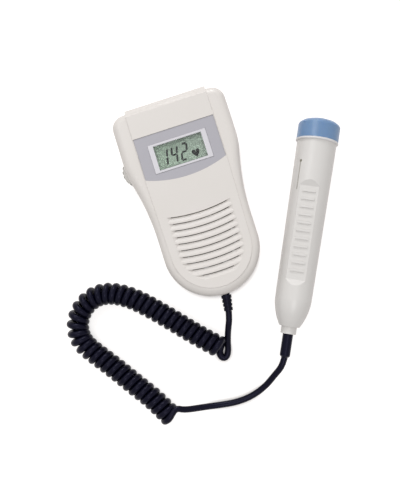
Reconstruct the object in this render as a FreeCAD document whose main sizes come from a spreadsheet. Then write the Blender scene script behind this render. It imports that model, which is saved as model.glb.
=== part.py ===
"""Handheld fetal doppler: a display unit lying on its back, a probe beside it, and the
curly cord between them.

Frame: millimetres. The origin is the centre of the unit's flat back face, +Z comes out of
the display, and +Y runs along the unit to its display end. Everything lies on z = 0.
"""
import FreeCAD, Part
import math
import os
import re

import Sketcher
from FreeCAD import Placement, Rotation, Vector

# ---------------------------------------------------------------------------------------
# Driving sizes
# ---------------------------------------------------------------------------------------
SIZES = [
    # the unit's case, seen from the front
    ("case_length", 139.0, "end to end, without the brow"),
    ("case_width", 80.2, "at the display"),
    ("waist_width", 65.4, "at the speaker"),
    ("case_depth", 29.0, "back face to plateau"),
    ("crown_radius", 320.0, "bow of the top end"),
    ("corner_radius", 9.0, "two top corners"),
    ("flare_start", 34.3, "display end to where the sides begin to draw in"),
    ("flare_radius", 62.0, "outward curve of the sides"),
    ("hollow_radius", 168.0, "inward curve of the sides"),
    ("heel_radius", 32.5, "sides into the bottom end"),
    ("bow_radius", 40.0, "bow of the bottom end"),
    # case walls
    ("parting_height", 12.5, "where the two shells meet"),
    ("wall", 2.2, "side walls"),
    ("roof_thickness", 3.0, "front wall"),
    ("floor_thickness", 2.0, "back wall"),
    ("seat_thickness", 2.0, "wall over the battery door"),
    ("front_edge_radius", 5.5, "outer front edge"),
    ("roof_edge_radius", 3.3, "inner front edge"),
    ("back_edge_radius", 3.0, "outer back edge"),
    ("lip_height", 1.2, "rear shell's locating lip"),
    ("lip_thickness", 0.95, "rear shell's locating lip"),
    ("lip_gap", 0.1, "round the lip"),
    # plateau on the front face, and the brow over the top end
    ("plateau_width", 57.6, "across the plateau at the display"),
    ("plateau_waist", 54.8, "across the plateau at the speaker"),
    ("plateau_step", 0.8, "over the rim"),
    ("plateau_margin", 5.2, "rim left at the bottom end"),
    ("plateau_edge", 0.4, "rounding of its edge"),
    ("brow_overhang", 1.2, "beyond the top end"),
    ("brow_knee", 6.5, "plateau down to its foremost edge"),
    ("brow_ridge", 4.9, "display end to where it meets the plateau"),
    ("brow_root", 11.5, "display end to where it starts inside the plateau"),
    # display
    ("display_y", 38.6, "display end to the middle of the display"),
    ("panel_top", 17.2, "middle of the display to the lilac panel's straight top edge"),
    ("panel_side_foot", 12.1, "middle of the display to the panel's lower corners"),
    ("panel_foot", 17.4, "middle of the display to the panel's lowest point"),
    ("panel_lip", 0.45, "plateau left beside the panel"),
    ("panel_recess", 1.2, "depth of its seat"),
    ("panel_thickness", 0.8, "lilac panel"),
    ("panel_gap", 0.1, "round the panel"),
    ("bezel_width", 40.7, "display frame"),
    ("bezel_height", 20.1, "display frame"),
    ("bezel_proud", 0.3, "over the lilac panel"),
    ("bezel_gap", 0.15, "round the frame"),
    ("bezel_flange", 2.0, "tabs of the frame under the roof"),
    ("flange_thickness", 1.0, "tabs of the frame"),
    ("window_width", 33.8, "opening of the frame"),
    ("window_height", 17.2, "opening of the frame"),
    ("window_ledge", 0.6, "ledge that holds the window"),
    ("window_gap", 0.1, "round the window"),
    ("window_thickness", 1.0, "clear window"),
    ("frame_lip", 1.5, "frame above the window"),
    ("glass_width", 38.0, "display glass"),
    ("glass_height", 22.0, "display glass"),
    ("glass_thickness", 2.6, "both sheets of the display glass"),
    ("glass_ledge", 2.6, "lower sheet beyond the upper one"),
    ("strip_height", 2.0, "rubber contact strips"),
    ("strip_width", 2.0, "rubber contact strips"),
    ("strip_length", 34.0, "rubber contact strips"),
    ("strip_spacing", 17.0, "between the two strips"),
    # louvres and speaker
    ("louvre_first", 57.6, "cord end to the first louvre"),
    ("louvre_pitch", 4.64, "louvre to louvre"),
    ("louvre_count", 10, "louvres"),
    ("louvre_reach", 22.2, "half of the widest louvre"),
    ("louvre_bow", 105.0, "bow of each louvre"),
    ("louvre_margin", 5.2, "louvre ends to the plateau's edge"),
    ("louvre_fade", 2.6, "over which a louvre's end rises to the surface"),
    ("louvre_depth", 1.1, "at the upper wall"),
    ("louvre_run", 3.4, "from the upper wall to the surface"),
    ("slot_width", 0.45, "sound slot at the foot of the upper wall"),
    ("speaker_y", 36.5, "cord end to the middle of the speaker"),
    ("speaker_radius", 18.0, "rim of the speaker"),
    ("speaker_rim", 1.4, "thickness of the rim"),
    ("basket_radius", 11.0, "bottom of the basket"),
    ("basket_depth", 4.0, "front of the rim to the back plate"),
    ("basket_wall", 0.5, "pressed sheet"),
    ("magnet_radius", 9.5, "speaker magnet"),
    ("magnet_height", 2.0, "speaker magnet"),
    ("magnet_gap", 0.6, "magnet to the opening in the bay's roof"),
    ("cone_radius", 16.6, "speaker cone"),
    ("cone_sheet", 0.4, "speaker cone"),
    ("ring_gap", 0.3, "speaker rim to its ring"),
    ("ring_wall", 1.3, "ring that centres the speaker"),
    # circuit board
    ("board_top", 8.6, "front face to the component side, towards the display"),
    ("board_thickness", 1.6, "circuit board"),
    ("board_inset", 4.2, "case side to board edge"),
    ("board_foot", 67.5, "display end to the lower edge of the board"),
    ("board_head", 16.0, "display end to the upper edge of the board"),
    ("post_radius", 1.8, "posts that carry the board"),
    ("post_x_upper", 10.6, "case side to the upper posts"),
    ("post_y_upper", 7.0, "upper edge of the board to the upper posts"),
    ("post_x_lower", 6.7, "case side at the speaker to the lower posts"),
    ("post_y_lower", 4.5, "lower edge of the board to the lower posts"),
    ("chip_side", 10.0, "controller chip"),
    ("chip_height", 1.6, "chips"),
    # volume wheel
    ("wheel_x", 8.0, "case side to the wheel's axis"),
    ("wheel_y", 39.4, "display end to the wheel's axis"),
    ("wheel_radius", 11.0, "over the knurls"),
    ("wheel_thickness", 4.2, "volume wheel"),
    ("wheel_foot", 7.3, "board's back to the underside of the wheel"),
    ("wheel_gap", 0.4, "wheel to the sides of its slot"),
    ("wheel_clearance", 0.5, "wheel to the end of its slot"),
    ("knurl_count", 20, "notches round the wheel"),
    ("knurl_radius", 0.85, "one notch"),
    ("knurl_depth", 0.55, "one notch"),
    ("shaft_radius", 1.45, "volume shaft"),
    ("shaft_clearance", 0.05, "shaft in the control's bore"),
    ("shaft_head_radius", 2.2, "head under the wheel"),
    ("shaft_head", 0.6, "head under the wheel"),
    ("shaft_play", 0.5, "shaft end to the bottom of the bore"),
    ("pot_radius", 4.5, "volume control"),
    ("pot_boss_radius", 2.5, "thrust face over the wheel"),
    ("pot_boss_height", 0.5, "thrust face over the wheel"),
    ("pot_play", 0.2, "thrust face to wheel"),
    ("pot_cover", 0.3, "control left above its bore"),
    # headphone socket
    ("jack_y", 21.5, "display end to the socket axis"),
    ("jack_length", 12.0, "socket body"),
    ("jack_width", 6.5, "socket body"),
    ("jack_height", 5.0, "socket body"),
    ("jack_nose_radius", 2.2, "nose in the case wall"),
    ("jack_nose_inset", 0.1, "nose behind the case side"),
    ("jack_hole_gap", 0.2, "round the nose"),
    ("jack_bore_radius", 1.8, "for a 3.5 mm plug"),
    ("jack_bore_depth", 13.5, "for a 3.5 mm plug"),
    ("jack_wall_gap", 0.3, "socket body to the case wall"),
    # batteries
    ("cell_radius", 7.1, "AA cell"),
    ("cell_length", 49.2, "AA cell without its pole"),
    ("pole_radius", 2.7, "AA pole"),
    ("pole_length", 1.0, "AA pole"),
    ("cell_spacing", 15.2, "between the two cells"),
    ("cell_lift", 0.6, "cells over the door"),
    ("bay_foot", 9.0, "cord end to the inside of the battery bay"),
    ("bay_length", 55.0, "inside of the battery bay"),
    ("bay_width", 31.0, "inside of the battery bay"),
    ("bay_height", 17.2, "back face to the bay's roof"),
    ("bay_wall", 1.2, "battery bay"),
    ("contact_thickness", 0.4, "battery contact"),
    ("contact_width", 11.0, "battery contact"),
    ("spring_radius", 3.2, "middle of the wire"),
    ("spring_wire", 0.35, "half of the wire's side"),
    ("spring_turns", 3, "turns of a spring"),
    ("spring_gap", 0.1, "spring to contact and cell"),
    # battery door
    ("door_width", 36.0, "battery door"),
    ("door_head", 1.5, "battery bay to the upper edge of the door"),
    ("door_thickness", 1.8, "battery door"),
    ("door_gap", 0.25, "round the door"),
    ("door_travel", 9.0, "slide that frees the tabs"),
    ("tab_reach", 1.2, "tabs beyond the door's sides"),
    ("tab_length", 8.0, "tabs along the door"),
    ("tab_thickness", 0.9, "tabs"),
    ("tab_first", 8.0, "upper edge of the door to the first pair"),
    ("tab_pitch", 28.0, "pair to pair"),
    ("tab_count", 2, "pairs of tabs"),
    ("tab_gap", 0.25, "round a tab"),
    ("grip_count", 5, "finger grooves of the door"),
    ("grip_first", 4.5, "upper edge of the door to the first finger groove"),
    ("grip_pitch", 2.2, "groove to groove"),
    ("grip_length", 16.0, "finger groove"),
    ("grip_width", 1.0, "finger groove"),
    ("grip_depth", 0.5, "finger groove"),
    # screws
    ("screw_x_upper", 7.6, "case side to the upper screws"),
    ("screw_y_upper", 11.5, "display end to the upper screws"),
    ("screw_x_lower", 8.2, "case side at the speaker to the lower screws"),
    ("screw_y_lower", 25.5, "cord end to the lower screws"),
    ("boss_radius", 3.4, "front shell's screw bosses"),
    ("column_radius", 4.6, "rear shell's screw columns"),
    ("screw_head_radius", 2.7, "screw head"),
    ("screw_head_height", 2.0, "screw head"),
    ("screw_radius", 1.4, "screw shank"),
    ("screw_length", 12.0, "screw shank"),
    ("screw_seat", 6.0, "back face to the underside of the head"),
    ("screw_gap", 0.1, "shank in its pilot hole"),
    ("screw_play", 0.4, "head and shank in the rear shell"),
    ("drive_width", 0.8, "cross recess"),
    ("drive_depth", 1.0, "cross recess"),
    # cord and its two reliefs
    ("cord_diameter", 4.4, "cord"),
    ("coil_diameter", 15.4, "over the turns"),
    ("relief_length", 10.8, "unit relief outside the case"),
    ("relief_root_radius", 3.6, "unit relief at the case"),
    ("relief_tip_radius", 3.0, "unit relief at its tip"),
    ("relief_lean", 8.5, "degrees towards the cord's side"),
    ("relief_standoff", 0.65, "relief root to the case"),
    ("relief_notches", 3, "flexing notches"),
    ("notch_width", 0.9, "flexing notch"),
    ("notch_depth", 0.5, "flexing notch"),
    ("stem_radius", 2.6, "relief through the wall"),
    ("stem_gap", 0.15, "round the stem"),
    ("stem_flange_radius", 4.2, "relief behind the wall"),
    ("stem_flange", 1.5, "relief behind the wall"),
    ("flange_play", 0.35, "relief flange to the wall"),
    # probe, measured from its face towards the cord
    ("probe_length", 147.6, "face to collar end"),
    ("probe_heading", 26.5, "degrees from the unit's axis"),
    ("probe_roll", 8.0, "degrees that the ribs are turned towards the unit"),
    ("probe_face_x", 98.0, "middle of the probe's face"),
    ("probe_face_y", 24.5, "middle of the probe's face"),
    ("cap_radius", 14.35, "blue cap"),
    ("cap_length", 14.3, "blue cap"),
    ("cap_wall", 1.6, "blue cap"),
    ("cap_chamfer", 2.9, "outer edge of the cap"),
    ("cap_rise", 3.4, "face to the end of the chamfer"),
    ("disc_radius", 8.2, "raised disc on the face"),
    ("disc_step", 0.6, "raised disc on the face"),
    ("face_wall", 1.8, "cap behind the disc"),
    ("collar_ring_radius", 14.6, "pale ring under the cap"),
    ("collar_ring_length", 1.5, "pale ring under the cap"),
    ("spigot_gap", 0.1, "cap on the housing's spigot"),
    ("spigot_start", 6.5, "face to the spigot's end"),
    ("seal_radius", 0.4, "half of the seal ring's side"),
    ("seal_at", 9.2, "face to the seal"),
    ("grip_head_radius", 13.5, "housing under the ring"),
    ("grip_tail_radius", 12.4, "housing where it begins to taper"),
    ("taper_start", 124.6, "face to the taper"),
    ("taper_mid", 135.6, "face to the middle of the taper"),
    ("taper_mid_radius", 10.2, "housing in the middle of the taper"),
    ("collar_start", 142.6, "face to the tail collar"),
    ("tail_radius", 6.9, "housing at the collar"),
    ("collar_radius", 5.3, "tail collar"),
    ("probe_bore", 9.4, "bore of the housing"),
    ("front_bore", 10.6, "bore round the absorber"),
    ("front_bore_end", 11.0, "face to the end of that bore"),
    ("bore_end", 119.6, "face to the end of the bore"),
    ("cable_bore", 2.7, "bore of the tail"),
    ("pad_start", 43.5, "face to the thumb pad"),
    ("pad_end", 115.0, "face to the end of the thumb pad"),
    ("pad_ramp", 4.0, "slope at each end of the thumb pad"),
    ("pad_width", 13.0, "thumb pad"),
    ("pad_depth", 1.9, "flat of the thumb pad under the round grip"),
    ("rib_first", 50.8, "face to the first rib"),
    ("rib_pitch", 5.39, "rib to rib"),
    ("rib_count", 11, "ribs"),
    ("rib_width", 9.0, "rib"),
    ("rib_thickness", 1.6, "rib"),
    ("rib_proud", 0.7, "ribs over the thumb pad"),
    ("mark_start", 31.1, "face to the line on the housing"),
    ("mark_length", 19.7, "line on the housing"),
    ("mark_width", 0.6, "line on the housing"),
    ("mark_depth", 0.4, "line on the housing"),
    ("mark_dot", 0.8, "radius of the dot at its end"),
    ("mark_turn", 38.5, "degrees round from the ribs"),
    ("sleeve_radius", 3.5, "probe relief"),
    ("sleeve_length", 16.3, "probe relief outside the collar"),
    ("sleeve_chamfer", 1.3, "probe relief"),
    ("plug_radius", 2.6, "probe relief in the collar"),
    ("plug_length", 6.0, "probe relief in the collar"),
    # inside the probe
    ("crystal_radius", 11.0, "half-round crystals"),
    ("crystal_thickness", 1.2, "half-round crystals"),
    ("crystal_split", 1.0, "between the two crystals"),
    ("crystal_gap", 0.05, "bond under the crystals"),
    ("backing_radius", 10.3, "absorber behind the crystals"),
    ("backing_length", 6.0, "absorber behind the crystals"),
    ("probe_board_length", 62.0, "probe's board"),
    ("probe_board_thickness", 1.2, "probe's board"),
    ("probe_board_gap", 0.3, "board to the bore and the absorber"),
    ("part_length", 14.0, "amplifier on the probe's board"),
    ("part_width", 8.0, "amplifier on the probe's board"),
    ("part_height", 2.0, "amplifier on the probe's board"),
]

doc = FreeCAD.newDocument("fetal_doppler")
sheet = doc.addObject("Spreadsheet::Sheet", "Sizes")
for row, (alias, number, note) in enumerate(SIZES, start=1):
    sheet.set("A%d" % row, alias)
    sheet.set("B%d" % row, str(number))
    sheet.set("C%d" % row, note)
    sheet.setAlias("B%d" % row, alias)
doc.recompute()
ALIASES = {entry[0] for entry in SIZES}


def tied(text):
    """The expression text with each size's name made a reference to its cell."""
    def cell(match):
        word = match.group()
        return "Sizes." + word if word in ALIASES else word
    return re.sub(r"[a-z_]+", cell, text)


def mm(text):
    """The value of an expression in the sizes."""
    return float(sheet.evalExpression(tied(text)))


def bind(thing, **properties):
    for name, text in properties.items():
        thing.setExpression(name, tied(text))


def place(thing, x="0", y="0", z="0"):
    for axis, text in (("x", x), ("y", y), ("z", z)):
        thing.setExpression("Placement.Base." + axis, tied(text))


# ---------------------------------------------------------------------------------------
# Ways of making a piece
# ---------------------------------------------------------------------------------------
TURNED = {
    "x": Rotation(Vector(0, 1, 0), 90),
    "y": Rotation(Vector(1, 0, 0), -90),
    "z": Rotation(),
}


def box(name, x, y, z, wide, deep, high):
    """A box from its lowest corner."""
    piece = doc.addObject("Part::Box", name)
    bind(piece, Length=wide, Width=deep, Height=high)
    place(piece, x, y, z)
    return piece


def block(name, x, y, z, wide, deep, high):
    """A box centred on x and y that stands on z."""
    return box(name, "%s - (%s) / 2" % (x, wide), "%s - (%s) / 2" % (y, deep), z, wide, deep, high)


def rod(name, radius, length, x="0", y="0", z="0", along="z"):
    piece = doc.addObject("Part::Cylinder", name)
    bind(piece, Radius=radius, Height=length)
    piece.Placement = Placement(Vector(), TURNED[along])
    place(piece, x, y, z)
    return piece


def gather(kind, name, pieces):
    group = doc.addObject(kind, name)
    if kind == "Part::Compound":
        group.Links = pieces
    else:
        group.Shapes = pieces
    return group


def fuse(name, *pieces):
    return gather("Part::MultiFuse", name, list(pieces))


def common(name, *pieces):
    return gather("Part::MultiCommon", name, list(pieces))


def several(name, pieces):
    """Like pieces that share one node as separate solids."""
    return gather("Part::Compound", name, pieces)


def cut(name, base, *tools):
    result = doc.addObject("Part::Cut", name)
    result.Base = base
    result.Tool = tools[0] if len(tools) == 1 else fuse(name + "_tools", *tools)
    return result


def body(name):
    return doc.addObject("PartDesign::Body", name)


def sketch(owner, name, role="XY_Plane", lift="0", shift="0"):
    """A sketch on one of its body's origin planes, lifted along the plane's normal."""
    flat = owner.newObject("Sketcher::SketchObject", name)
    plane = [each for each in owner.Origin.OriginFeatures if each.Role == role][0]
    flat.AttachmentSupport = [(plane, "")]
    flat.MapMode = "FlatFace"
    flat.setExpression("AttachmentOffset.Base.z", tied(lift))
    flat.setExpression("AttachmentOffset.Base.x", tied(shift))
    return flat


def line(start, end):
    return Part.LineSegment(Vector(start[0], start[1], 0), Vector(end[0], end[1], 0))


def arc(centre, radius, start, end):
    """An arc turning anticlockwise between two angles in radians."""
    ring = Part.Circle(Vector(centre[0], centre[1], 0), Vector(0, 0, 1), radius)
    return Part.ArcOfCircle(ring, start, end)


def arc_through(start, middle, end):
    """An arc turning anticlockwise through three points."""
    ring = Part.Circle(*[Vector(x, y, 0) for x, y in (start, middle, end)])
    centre = (ring.Center.x, ring.Center.y)
    angles = [math.atan2(y - centre[1], x - centre[0]) for x, y in (start, end)]
    return arc(centre, ring.Radius, *angles)


def draw(flat, edges):
    """Adds the edges to a sketch and ties each end to the next one's."""
    first = len(flat.Geometry)
    flat.addGeometry(edges, False)
    ends = [(edge.StartPoint, edge.EndPoint) for edge in edges]
    joints = []
    for index in range(len(edges)):
        other = (index + 1) % len(edges)
        pairs = [(round(a.distanceToPoint(b), 6), i, j)
                 for i, a in enumerate(ends[index], start=1)
                 for j, b in enumerate(ends[other], start=1)]
        _, here, there = min(pairs)
        joints.append(Sketcher.Constraint("Coincident", first + index, here, first + other, there))
    flat.addConstraint(joints)


def polygon(flat, points):
    pairs = zip(points, points[1:] + points[:1])
    draw(flat, [line(start, end) for start, end in pairs])


def rectangle(flat, low, high):
    """A rectangle between two corners, each a pair of expressions."""
    (x0, y0), (x1, y1) = [(mm(x), mm(y)) for x, y in (low, high)]
    first = len(flat.Geometry)
    polygon(flat, [(x0, y0), (x1, y0), (x1, y1), (x0, y1)])
    for edge in range(4):
        kind = "Vertical" if edge % 2 else "Horizontal"
        flat.addConstraint(Sketcher.Constraint(kind, first + edge))
    for edge, (x, y) in ((0, low), (2, high)):
        for kind, text in (("DistanceX", x), ("DistanceY", y)):
            at = flat.addConstraint(Sketcher.Constraint(kind, -1, 1, first + edge, 1, mm(text)))
            flat.setExpression("Constraints[%d]" % at, tied(text))


def circle(flat, x, y, radius):
    spot = Vector(mm(x), mm(y), 0)
    at = flat.addGeometry(Part.Circle(spot, Vector(0, 0, 1), mm(radius)), False)
    rule = flat.addConstraint(Sketcher.Constraint("Radius", at, mm(radius)))
    flat.setExpression("Constraints[%d]" % rule, tied(radius))
    for kind, text in (("DistanceX", x), ("DistanceY", y)):
        rule = flat.addConstraint(Sketcher.Constraint(kind, -1, 1, at, 3, mm(text)))
        flat.setExpression("Constraints[%d]" % rule, tied(text))


def feature(owner, kind, name, flat, **lengths):
    made = owner.newObject("PartDesign::" + kind, name)
    made.Profile = flat
    bind(made, **lengths)
    return made


def pad(owner, flat, length, both_ways=False):
    made = feature(owner, "Pad", flat.Name + "_pad", flat, Length=length)
    if both_ways:
        made.SideType = "Symmetric"
    return made


def pocket(owner, flat, length, upwards=False, both_ways=False):
    made = feature(owner, "Pocket", flat.Name + "_pocket", flat, Length=length)
    made.Reversed = upwards
    if both_ways:
        made.SideType = "Symmetric"
    return made


def turn(owner, flat, kind="Revolution", angle=360.0):
    """A revolution or groove about the sketch's upright axis."""
    made = feature(owner, kind, flat.Name + "_turn", flat)
    made.ReferenceAxis = (flat, ["V_Axis"])
    made.Angle = angle
    made.Midplane = angle < 360.0
    return made


def turned(name, points, role="XZ_Plane"):
    """A body turned from a closed outline of (radius, height) points."""
    owner = body(name)
    flat = sketch(owner, name + "_outline", role)
    polygon(flat, points)
    turn(owner, flat)
    return owner


def rounded(owner, base, test, radius):
    """A fillet on the edges of the base that pass the test."""
    doc.recompute()
    names = ["Edge%d" % (i + 1) for i, edge in enumerate(base.Shape.Edges) if test(edge)]
    made = owner.newObject("PartDesign::Fillet", base.Name + "_fillet")
    made.Base = (base, names)
    bind(made, Radius=radius)
    return made


def lies_at(height):
    """A test for edges that lie wholly at one height."""
    def test(edge):
        limits = edge.BoundBox
        return abs(limits.ZMin - height) < 0.001 and abs(limits.ZMax - height) < 0.001
    return test


# ---------------------------------------------------------------------------------------
# The case's plan: arcs that run into each other, so an inset only changes their radii
# ---------------------------------------------------------------------------------------
BOW_LEAST = 0.1     # a lower corner's radius leaves the bottom bow at least this half width
SIDE_LEAST = 0.5    # the sides' two curves leave at least this straight length at the waist


def mirrored(edges):
    """The edges reflected in the unit's long axis."""
    result = []
    for edge in edges:
        if isinstance(edge, Part.LineSegment):
            ends = [(-point.x, point.y) for point in (edge.StartPoint, edge.EndPoint)]
            result.append(line(*ends))
        else:
            first, last = math.pi - edge.LastParameter, math.pi - edge.FirstParameter
            result.append(arc((-edge.Center.x, edge.Center.y), edge.Radius, first, last))
    return result[::-1]


def case_outline(inset=0.0):
    half, waist = mm("case_width / 2"), mm("waist_width / 2")
    crown, corner = mm("crown_radius"), mm("corner_radius")
    bow, start = mm("bow_radius"), mm("case_length / 2 - flare_start")
    heel = min(mm("heel_radius"), waist - BOW_LEAST)
    crown_y = mm("case_length / 2") - crown
    corner_y = crown_y + math.sqrt((crown - corner) ** 2 - (half - corner) ** 2)
    bow_y = bow - mm("case_length / 2")
    heel_y = bow_y - math.sqrt((bow - heel) ** 2 - (waist - heel) ** 2)
    step, run = half - waist, start - heel_y - SIDE_LEAST
    flare = mm("flare_radius")
    hollow = min(mm("hollow_radius"), (run ** 2 + step ** 2) / (2 * step) - flare)
    sweep = math.acos(1 - step / (flare + hollow))
    hollow_y = start - (flare + hollow) * math.sin(sweep)
    lean = math.atan2(half - corner, corner_y - crown_y)
    dip = math.atan2(waist - heel, bow_y - heel_y)
    down, up = -math.pi / 2, math.pi / 2
    right = [
        arc((waist - heel, heel_y), heel - inset, down + dip, 0),
        line((waist - inset, heel_y), (waist - inset, hollow_y)),
        arc((waist + hollow, hollow_y), hollow + inset, math.pi - sweep, math.pi),
        arc((half - flare, start), flare - inset, -sweep, 0),
        line((half - inset, start), (half - inset, corner_y)),
        arc((half - corner, corner_y), corner - inset, 0, up - lean),
    ]
    top = arc((0, crown_y), crown - inset, up - lean, up + lean)
    base = arc((0, bow_y), bow - inset, down - dip, down + dip)
    return right + [top] + mirrored(right) + [base]


def plateau_heel():
    """Centre and radius of the arcs at the plateau's two lower corners."""
    bow, half = mm("bow_radius - plateau_margin"), mm("plateau_waist / 2")
    radius = min(mm("heel_radius - plateau_margin"), half - BOW_LEAST)
    x = half - radius
    y = mm("bow_radius - case_length / 2") - math.sqrt((bow - radius) ** 2 - x ** 2)
    return x, y, radius


def lobe_outline(inset, *corners):
    """A plan with the plateau's round foot, and sides that run up through the given corners."""
    x, y, radius = plateau_heel()
    bow_y = mm("bow_radius - case_length / 2")
    dip = math.atan2(x, bow_y - y)
    points = [(x + radius - inset, y)] + list(corners)
    right = [arc((x, y), radius - inset, -math.pi / 2 + dip, 0)]
    right += [line(start, end) for start, end in zip(points, points[1:])]
    head_x, head_y = points[-1]
    top = line((head_x, head_y), (-head_x, head_y))
    bow = mm("bow_radius - plateau_margin") - inset
    base = arc((0, bow_y), bow, -math.pi / 2 - dip, -math.pi / 2 + dip)
    return right + [top] + mirrored(right) + [base]


def case_slab(name, low, high):
    """A body as deep as from low to high, on the case's plan."""
    owner = body(name)
    flat = sketch(owner, name + "_plan", lift=low)
    draw(flat, case_outline())
    return owner, pad(owner, flat, "%s - (%s)" % (high, low))


# ---------------------------------------------------------------------------------------
# Places in the unit, each measured from the end, side or piece that it keeps its distance to
# ---------------------------------------------------------------------------------------
def mirrored_pair(x, y):
    """The same place on the right and on the left."""
    return [(x, y), ("-" + x, y)]


RIM = "case_depth - plateau_step"
ROOF = "case_depth - roof_thickness"
BROW_ROOT = "(case_length / 2 - brow_root)"
BROW_KNEE = "(case_depth - brow_knee)"
DISPLAY_Y = "(case_length / 2 - display_y)"
PANEL_SIDE_FOOT = DISPLAY_Y + " - panel_side_foot"
LOUVRE_HEAD = "(louvre_first - case_length / 2)"
SPEAKER_Y = "(speaker_y - case_length / 2)"
BOARD_TOP = "(case_depth - board_top)"
BOARD_BACK = "(case_depth - board_top - board_thickness)"
BOARD_FOOT = "(case_length / 2 - board_foot)"
BOARD_HEAD = "(case_length / 2 - board_head)"
WHEEL_X = "(wheel_x - case_width / 2)"
WHEEL_Y = "(case_length / 2 - wheel_y)"
WHEEL_FOOT = "(case_depth - board_top - board_thickness - wheel_foot)"
WHEEL_TOP = WHEEL_FOOT + " + wheel_thickness"
JACK_Y = "(case_length / 2 - jack_y)"
JACK_AXIS = BOARD_BACK + " - jack_height / 2"
BAY_FOOT = "(bay_foot - case_length / 2)"
BAY_HEAD = "(bay_foot + bay_length - case_length / 2)"
DOOR_HEAD = "(bay_foot + bay_length + door_head - case_length / 2)"
SCREWS = (mirrored_pair("(case_width / 2 - screw_x_upper)", "case_length / 2 - screw_y_upper")
          + mirrored_pair("(waist_width / 2 - screw_x_lower)", "screw_y_lower - case_length / 2"))
POSTS = (mirrored_pair("(case_width / 2 - post_x_upper)", BOARD_HEAD + " - post_y_upper")
         + mirrored_pair("(waist_width / 2 - post_x_lower)", BOARD_FOOT + " + post_y_lower"))


# ---------------------------------------------------------------------------------------
# Front shell: moulded cover with the plateau, brow, louvres and the seats inside
# ---------------------------------------------------------------------------------------
def make_front_shell():
    shell, slab = case_slab("front_moulding", "parting_height", RIM)
    rounded(shell, slab, lies_at(mm(RIM)), "front_edge_radius")

    plan = sketch(shell, "plateau_plan", lift=BROW_KNEE)
    half = mm("plateau_width / 2")
    draw(plan, lobe_outline(0.0, (half, mm(PANEL_SIDE_FOOT)), (half, mm(BROW_ROOT))))
    pad(shell, plan, "brow_knee")

    side = sketch(shell, "brow_profile", "YZ_Plane")
    end = mm("case_length / 2")
    polygon(side, [
        (mm(BROW_ROOT), mm(BROW_KNEE)),
        (end - mm("wall"), mm("parting_height")),
        (end, mm("parting_height")),
        (end + mm("brow_overhang"), mm(BROW_KNEE)),
        (end - mm("brow_ridge"), mm("case_depth")),
        (mm(BROW_ROOT), mm("case_depth")),
    ])
    brow = pad(shell, side, "plateau_width", both_ways=True)
    rounded(shell, brow, lies_at(mm("case_depth")), "plateau_edge")

    hollow = sketch(shell, "front_hollow", lift="parting_height")
    draw(hollow, case_outline(mm("wall")))
    room = pocket(shell, hollow, ROOF + " - parting_height", upwards=True)
    rounded(shell, room, lies_at(mm(ROOF)), "roof_edge_radius")

    rebate = sketch(shell, "lip_rebate", lift="parting_height")
    draw(rebate, case_outline(mm("wall - lip_thickness - lip_gap")))
    pocket(shell, rebate, "lip_height + lip_gap", upwards=True)

    seat = sketch(shell, "panel_seat", lift="case_depth")
    draw(seat, panel_outline(0.0))
    pocket(shell, seat, "panel_recess")

    opening = sketch(shell, "display_opening", lift="case_depth")
    half_w, half_h = "(bezel_width / 2 + bezel_gap)", "(bezel_height / 2 + bezel_gap)"
    rectangle(opening, ("-" + half_w, DISPLAY_Y + " - " + half_h), (half_w, DISPLAY_Y + " + " + half_h))
    pocket(shell, opening, "roof_thickness + flange_thickness")

    ring = sketch(shell, "speaker_ring", lift=ROOF + " - speaker_rim")
    circle(ring, "0", SPEAKER_Y, "speaker_radius + ring_gap + ring_wall")
    circle(ring, "0", SPEAKER_Y, "speaker_radius + ring_gap")
    pad(shell, ring, "speaker_rim")

    bosses = sketch(shell, "screw_bosses", lift="parting_height")
    for x, y in SCREWS:
        circle(bosses, x, y, "boss_radius")
    pad(shell, bosses, ROOF + " - parting_height")

    posts = sketch(shell, "board_posts", lift=BOARD_TOP)
    for x, y in POSTS:
        circle(posts, x, y, "post_radius")
    pad(shell, posts, ROOF + " - " + BOARD_TOP)

    pilots = sketch(shell, "screw_pilots", lift="parting_height")
    for x, y in SCREWS:
        circle(pilots, x, y, "screw_radius + screw_gap")
    pocket(shell, pilots, "screw_seat + screw_length + screw_gap * 4 - parting_height", upwards=True)

    cutters = [louvre_cutter(index) for index in range(int(mm("louvre_count")))]
    louvres = common("louvre_cuts", louvre_field(), fuse("louvre_cutters", *cutters))
    return cut("front_shell", shell, louvres, *case_openings("front"))


def panel_outline(gap):
    """The lilac panel's plan: straight top and sides, and a bowed foot."""
    half = mm("plateau_width / 2 - panel_lip") - gap
    top, corner = mm(DISPLAY_Y + " + panel_top") - gap, mm(PANEL_SIDE_FOOT) + gap
    foot = mm(DISPLAY_Y + " - panel_foot") + gap
    bow = (half ** 2 + (corner - foot) ** 2) / (2 * (corner - foot))
    reach = math.asin(half / bow)
    down = -math.pi / 2
    return [
        arc((0, foot + bow), bow, down - reach, down + reach),
        line((half, corner), (half, top)),
        line((half, top), (-half, top)),
        line((-half, top), (-half, corner)),
    ]


def louvre_cutter(index):
    """What one louvre takes away: a steep upper wall, a slot at its foot, and a ramp to the surface."""
    cutter = body("louvre_cutter_%02d" % (index + 1))
    middle = LOUVRE_HEAD + " - %d * louvre_pitch" % index
    flat = sketch(cutter, "louvre_%02d" % (index + 1), "YZ_Plane", shift=middle + " + louvre_bow")
    bow, top = mm("louvre_bow"), mm("case_depth")
    floor, above = top - mm("louvre_depth"), mm("plateau_step")
    slot_end, run = bow + mm("slot_width"), bow + mm("louvre_run")
    under = mm(ROOF) - above
    polygon(flat, [(-bow, top + above), (-bow, under), (-slot_end, under), (-slot_end, floor),
                   (-run, top), (-run, top + above)])
    turn(cutter, flat, angle=2 * math.degrees(math.asin(mm("louvre_reach") / bow)))
    return cutter


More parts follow.
